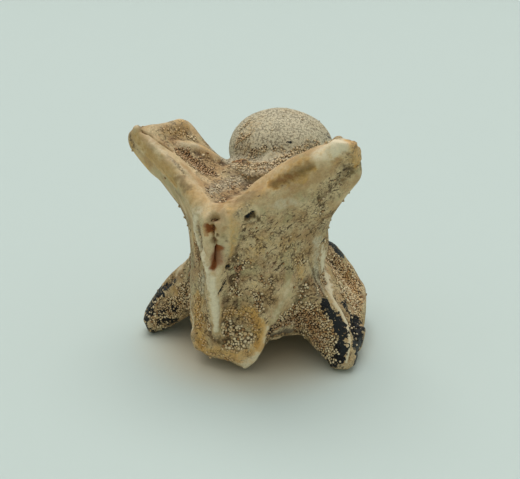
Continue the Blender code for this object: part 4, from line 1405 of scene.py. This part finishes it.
@dataclass(frozen=True)
class BoneFinish:
    """Matte fossil bone, mottled, pitted and stained where its marks say, with painted shade and painted
    highlights.

    A noise is given by its size in millimetres, its detail, its roughness and its bend. A ramp is given by the
    values where it starts and ends, and by its results there.
    """

    name: str = "fossil_bone"
    tan: Colour = paint(180, 147, 102)
    pale: Colour = paint(210, 185, 142)
    cool: Colour = paint(178, 166, 124)
    rosy: Colour = paint(192, 146, 112)
    cream: Colour = paint(228, 213, 180)
    # The sediment crust's colour, dark partly as painted shade between the grains.
    crust: Colour = paint(62, 42, 24)
    # The colour of dark pits, also used for painted shade in the bone's hollows.
    speck_and_shade: Colour = paint(62, 42, 22)
    tar: Colour = paint(17, 19, 20)
    stains: tuple[Stain, ...] = (
        Stain("ash", paint(208, 196, 166), 1.0, 0.1, 0.9),
        Stain("cream", cream, 1.0, 0.15, 1.0, 0.9),
        Stain("ochre", paint(216, 171, 100), 1.1, 0.0, 0.9, 0.9),
        Stain("ochre", paint(192, 140, 70), 1.6, 0.5, 1.0, 0.6, True),
        Stain("umber", paint(108, 86, 50), 0.9, 0.1, 1.1, 0.85),
        Stain("rust", paint(144, 84, 40), 0.6, 0.2, 0.9),
    )
    broad_noise: Numbers = (1.6, 3)
    fine_noise: Numbers = (0.35, 3, 0.6)
    tiny_noise: Numbers = (0.13, 2, 0.6)
    pale_ramp: Numbers = (0.35, 0.65)
    cool_noise: Numbers = (2.2, 2, 0.5, 0.5)
    cool_ramp: Numbers = (0.5, 0.68, 0, 0.6)
    rosy_noise: Numbers = (0.7, 3, 0.6, 0.8)
    rosy_ramp: Numbers = (0.52, 0.7, 0, 0.3)
    rough_ramp: Numbers = (0.0, 0.45, 0.12, 1.0)
    patch_noise: Numbers = (0.9, 2, 0.5)
    patch_ramp: Numbers = (0.4, 0.62, 0.25, 1.0)
    streak_way: tuple[float, float, float] = (0.564, 0.491, 0.665)
    streak_length: float = 0.5
    streak_noise: Numbers = (0.24, 2, 0.6, 0.5)
    streak_ramp: Numbers = (0.585, 0.66)
    speck_noise: Numbers = (0.14, 1, 0.5, 0.6)
    speck_ramp: Numbers = (0.57, 0.65)
    crevice_size: float = 0.24
    crevice_ramp: Numbers = (0.53, 0.64)
    crevice_grit_ramp: Numbers = (0.3, 0.6, 0.45, 1.0)
    clean_ash_ramp: Numbers = (0.3, 0.8, 1.0, 0.15)
    sand_noise: Numbers = (0.15, 1, 0.6, 0.4)
    sand_size: float = 0.2
    sand_gap_ramp: Numbers = (0.6, 0.7)
    sandy_ash_ramp: Numbers = (0.0, 0.7, 0.1, 0.85)
    crust_shade_ramp: Numbers = (0.55, 0.85)
    crust_shade_share: float = 0.85
    pit_share: float = 0.9
    dust_least: float = 0.25
    dust_growth: float = 0.45
    dust_and_warm_shadow_ramp: Numbers = (0.35, 0.65, 0.78, 1.2)
    hollow_shade_ramp: Numbers = (0.15, 0.9, 0, 0.7)
    ash_shade_ramp: Numbers = (0.2, 0.7, 1.0, 0.2)
    crest_highlight_ramp: Numbers = (-0.2, -0.9, 0, 0.15)
    tar_noise: Numbers = (0.26, 3, 0.7)
    tar_spread: Numbers = (0.02, 0.35, 0.0, 3.2)
    tar_ramp: Numbers = (0.44, 0.54)
    tar_gloss: float = -0.3
    matte_ramp: Numbers = (0.0, 1.0, 0.8, 0.6)
    fine_relief: float = 0.6
    tiny_relief: float = 0.4
    pit_relief: float = -0.8
    least_relief: float = 0.2
    relief_height: float = 0.08

    def stained(self, w: Wiring, marks: dict[str, object], broad: object, fine: object) -> Socket:
        """The mottled bone under its stains.

        Args:
            w: The finish's nodes.
            marks: The bone's marks by name.
            broad: Broad noise.
            fine: Fine noise.

        Returns:
            The colour.
        """
        colour = w.mix(w.ramp(broad, *self.pale_ramp), self.tan, self.pale)
        colour = w.mix(w.ramp(w.noise(*self.cool_noise), *self.cool_ramp), colour, self.cool)
        colour = w.mix(w.ramp(w.noise(*self.rosy_noise), *self.rosy_ramp), colour, self.rosy)
        blots, uneven = w.sum("SUBTRACT", broad, 0.5), w.sum("SUBTRACT", fine, 0.5)
        for stain in self.stains:
            ragged = w.sum("MULTIPLY_ADD", blots if stain.blots else uneven, stain.raggedness, marks[stain.mark])
            colour = w.mix(w.ramp(ragged, stain.low, stain.high, 0, stain.most), colour, stain.colour)
        return colour

    def pitted(self, w: Wiring, grit: object, ash: object, rough: object) -> Socket:
        """Streaks, specks and crevices on tan bone, and sand on ashen bone.

        Args:
            w: The finish's nodes.
            grit: The grit's mark.
            ash: The mark of ashen bone.
            rough: How rough the bone is.

        Returns:
            How dark the pits are, from 0 to 1.
        """
        patchy = w.ramp(w.noise(*self.patch_noise), *self.patch_ramp)
        stretched = w.stretched(self.streak_way, self.streak_length)
        streaks = w.ramp(w.noise(*self.streak_noise, stretched), *self.streak_ramp)
        specks = w.sum("MULTIPLY", w.ramp(w.noise(*self.speck_noise), *self.speck_ramp), patchy)
        gritty = w.sum("MULTIPLY", w.ramp(grit, *self.crevice_grit_ramp), patchy)
        crevices = w.sum("MULTIPLY", w.ramp(w.cells(self.crevice_size), *self.crevice_ramp), gritty)
        coarse = w.sum("MAXIMUM", w.sum("MAXIMUM", streaks, specks), crevices)
        coarse = w.sum("MULTIPLY", coarse, w.ramp(ash, *self.clean_ash_ramp))
        sand = w.ramp(w.noise(*self.sand_noise), *self.speck_ramp)
        sand = w.sum("MAXIMUM", sand, w.ramp(w.cells(self.sand_size), *self.sand_gap_ramp))
        sand = w.sum("MULTIPLY", sand, w.ramp(ash, *self.sandy_ash_ramp))
        return w.sum("MULTIPLY", w.sum("MAXIMUM", coarse, sand), rough)

    def material(self) -> bpy.types.Material:
        """Wires the finish.

        Returns:
            The material.
        """
        w = Wiring(self.name)
        names = ("grit", "cream", "hollow", "ash", "ochre", "umber", "rust", "tar")
        marks = {name: w.mark(name) for name in names}
        grit, cream, hollow, ash, tar = (marks[name] for name in ("grit", "cream", "hollow", "ash", "tar"))
        broad, fine, tiny = (w.noise(*shape) for shape in (self.broad_noise, self.fine_noise, self.tiny_noise))
        rough = w.sum("MULTIPLY", w.ramp(grit, *self.rough_ramp), w.sum("SUBTRACT", 1.0, cream))
        pitted = self.pitted(w, grit, ash, rough)
        colour = self.stained(w, marks, broad, fine)
        # Gritty bone takes the dark crust: sediment, and in part painted shade between the grains.
        colour = w.mix(w.sum("MULTIPLY", w.ramp(grit, *self.crust_shade_ramp), self.crust_shade_share), colour, self.crust)
        colour = w.mix(w.sum("MULTIPLY", pitted, self.pit_share), colour, self.speck_and_shade)
        dust_and_warm_shadow_share = w.sum("MULTIPLY_ADD", rough, self.dust_growth, self.dust_least)
        colour = w.mix(dust_and_warm_shadow_share, colour, w.ramp(tiny, *self.dust_and_warm_shadow_ramp), "MULTIPLY")
        # Painted shade: in the bone's hollows, where it is gritty, the colour darkens towards the dark pit colour,
        # less where it is ashen.
        shaded = w.sum("MULTIPLY", rough, w.ramp(ash, *self.ash_shade_ramp))
        colour = w.mix(w.sum("MULTIPLY", w.ramp(hollow, *self.hollow_shade_ramp), shaded), colour, self.speck_and_shade)
        # Painted highlight: the bone's crests are paled towards cream.
        colour = w.mix(w.ramp(hollow, *self.crest_highlight_ramp), colour, self.cream)
        ragged = w.sum("SUBTRACT", w.noise(*self.tar_noise), 0.5)
        spread = w.sum("MULTIPLY", ragged, w.ramp(tar, *self.tar_spread))
        black = w.ramp(w.sum("ADD", spread, tar), *self.tar_ramp)
        w.feed(w.shader.inputs["Base Color"], w.mix(black, colour, self.tar))
        gloss = w.sum("MULTIPLY_ADD", black, self.tar_gloss, w.ramp(cream, *self.matte_ramp))
        w.feed(w.shader.inputs["Roughness"], gloss)
        relief = w.sum("MULTIPLY_ADD", fine, self.fine_relief, w.sum("MULTIPLY", tiny, self.tiny_relief))
        relief = w.sum("MULTIPLY", relief, w.sum("ADD", rough, self.least_relief))
        relief = w.sum("MULTIPLY_ADD", pitted, self.pit_relief, relief)
        w.feed(w.shader.inputs["Normal"], w.raise_by(relief, self.relief_height))
        return w.material


@dataclass(frozen=True)
class GrainFinish:
    """Small rounded grains, sandy to brown, that take the stain of the bone beneath them, with painted shade at
    their base.
    """

    name: str = "sediment_grain"
    sandy: Colour = paint(240, 218, 178)
    buff: Colour = paint(220, 190, 142)
    brown: Colour = paint(172, 130, 84)
    foot_shade: Colour = paint(46, 32, 20)
    tar: Colour = paint(18, 19, 20)
    stains: tuple[tuple[str, float, Colour], ...] = (
        ("ash", 0.5, paint(214, 200, 168)),
        ("ochre", 0.6, paint(214, 162, 92)),
        ("umber", 0.6, paint(164, 118, 76)),
        ("rust", 0.8, paint(150, 74, 44)),
    )
    buff_ramp: Numbers = (0.1, 0.6)
    brown_ramp: Numbers = (0.7, 0.95)
    tar_shade: float = 0.38
    tar_ramp: Numbers = (0.5, 0.6)
    spot_noise: Numbers = (0.08, 2, 0.6)
    spot_ramp: Numbers = (0.3, 0.7, 0.8, 1.15)
    spot_share: float = 0.7
    foot_shade_share: float = 0.85
    gloss_ramp: Numbers = (0.0, 1.0, 0.66, 0.5)
    relief_noise: Numbers = (0.06, 1)
    relief_height: float = 0.02

    def material(self) -> bpy.types.Material:
        """Wires the finish.

        Returns:
            The material.
        """
        w = Wiring(self.name)
        shade = w.mark("shade")
        colour = w.mix(w.ramp(shade, *self.buff_ramp), self.sandy, self.buff)
        colour = w.mix(w.ramp(shade, *self.brown_ramp), colour, self.brown)
        for mark_name, share, stain in self.stains:
            colour = w.mix(w.sum("MULTIPLY", w.mark(mark_name), share), colour, stain)
        stained = w.sum("MULTIPLY", w.sum("ADD", shade, self.tar_shade), w.mark("tar"))
        colour = w.mix(w.ramp(stained, *self.tar_ramp), colour, self.tar)
        spots = w.ramp(w.noise(*self.spot_noise), *self.spot_ramp)
        colour = w.mix(self.spot_share, colour, spots, "MULTIPLY")
        # Painted shade: the lower part of each grain turns dark brown.
        colour = w.mix(w.sum("MULTIPLY", w.mark("foot_shade"), self.foot_shade_share), colour, self.foot_shade)
        w.feed(w.shader.inputs["Base Color"], colour)
        w.feed(w.shader.inputs["Roughness"], w.ramp(shade, *self.gloss_ramp))
        w.feed(w.shader.inputs["Normal"], w.raise_by(w.noise(*self.relief_noise), self.relief_height))
        return w.material


@dataclass(frozen=True)
class SheetFinish:
    """The plain pale sheet that the bone stands on, tinted warm near the bone as painted shade of the bone's
    bounced light.
    """

    name: str = "pale_sheet"
    colour: Colour = paint(194, 206, 200)
    # The warm brown of the painted shade near the bone.
    warm_shadow: Colour = paint(206, 180, 138)
    warm_shadow_middle: tuple[float, float, float] = (0.0, -2.0, 0.0)
    dust_and_warm_shadow_ramp: Numbers = (4.0, 13.0, 0.7, 0)
    roughness: float = 0.9

    def material(self) -> bpy.types.Material:
        """Wires the finish.

        Returns:
            The material.
        """
        w = Wiring(self.name)
        # Painted shade: near the bone the sheet turns warm brown, for the bone's bounced light in its shadow.
        dust_and_warm_shadow_share = w.ramp(w.distance(self.warm_shadow_middle), *self.dust_and_warm_shadow_ramp)
        w.feed(w.shader.inputs["Base Color"], w.mix(dust_and_warm_shadow_share, self.colour, self.warm_shadow))
        w.feed(w.shader.inputs["Roughness"], self.roughness)
        return w.material


@dataclass(frozen=True)
class Studio:
    """The sheet, which rises all round like a dish, and the soft light over it."""

    flat_radius: float = 900.0
    rim_radius: float = 1500.0
    rim_steps: int = 12
    middle_radius: float = 0.001
    sides: int = 96
    sky: Colour = (1.0, 1.0, 1.0, 1.0)
    sky_strength: float = 0.57
    sun_way: tuple[float, float, float] = (-0.15, 0.27, 1.0)
    sun_width: float = 50.0
    sun_strength: float = 1.75

    def dish(self) -> bpy.types.Object:
        """The sheet.

        Returns:
            Its object.
        """
        rings = [(self.middle_radius, 0.0), (self.flat_radius, 0.0)]
        for k in range(1, self.rim_steps + 1):
            turn = math.pi / 2 * k / self.rim_steps
            radius = self.flat_radius + self.rim_radius * math.sin(turn)
            rings.append((radius, self.rim_radius * (1 - math.cos(turn))))
        points, faces = [], []
        for radius, height in rings:
            for k in range(self.sides):
                turn = 2 * math.pi * k / self.sides
                points.append((radius * math.cos(turn) * MM, radius * math.sin(turn) * MM, height * MM))
        for ring in range(len(rings) - 1):
            for k in range(self.sides):
                after = (k + 1) % self.sides
                low, high = ring * self.sides, (ring + 1) * self.sides
                faces.append((low + k, high + k, high + after, low + after))
        mesh = bpy.data.meshes.new("sheet")
        mesh.from_pydata(points, [], faces)
        mesh.shade_smooth()
        mesh.materials.append(SheetFinish().material())
        return stand("sheet", mesh)

    def light(self) -> None:
        """Lights the scene with an even sky and one wide, soft lamp far above."""
        world = bpy.data.worlds.new("studio")
        world.use_nodes = True
        sky = world.node_tree.nodes["Background"]
        sky.inputs["Color"].default_value = self.sky
        sky.inputs["Strength"].default_value = self.sky_strength
        bpy.context.scene.world = world
        data = bpy.data.lights.new("soft_lamp", "SUN")
        data.angle = math.radians(self.sun_width)
        data.energy = self.sun_strength
        lamp = stand("soft_lamp", data)
        lamp.rotation_euler = Vector(self.sun_way).to_track_quat("Z", "Y").to_euler()


def main() -> None:
    """Builds the skin, the grains and the studio in order."""
    logging.basicConfig(level=logging.INFO, format="%(name)s: %(message)s")
    cad_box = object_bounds()
    room = Room.of(cad_box)
    view = PhotoView()
    bone = BoneSkin()
    surface, marks, skin = bone.build(view, room)
    bone.dress(skin)
    grains = Grains()
    grains.dress(grains.build(surface, marks, room))
    studio = Studio()
    studio.dish()
    studio.light()
    bpy.context.scene.camera = view.camera()
    bpy.context.scene.view_settings.view_transform = "Standard"


if __name__ == "__main__":
    main()
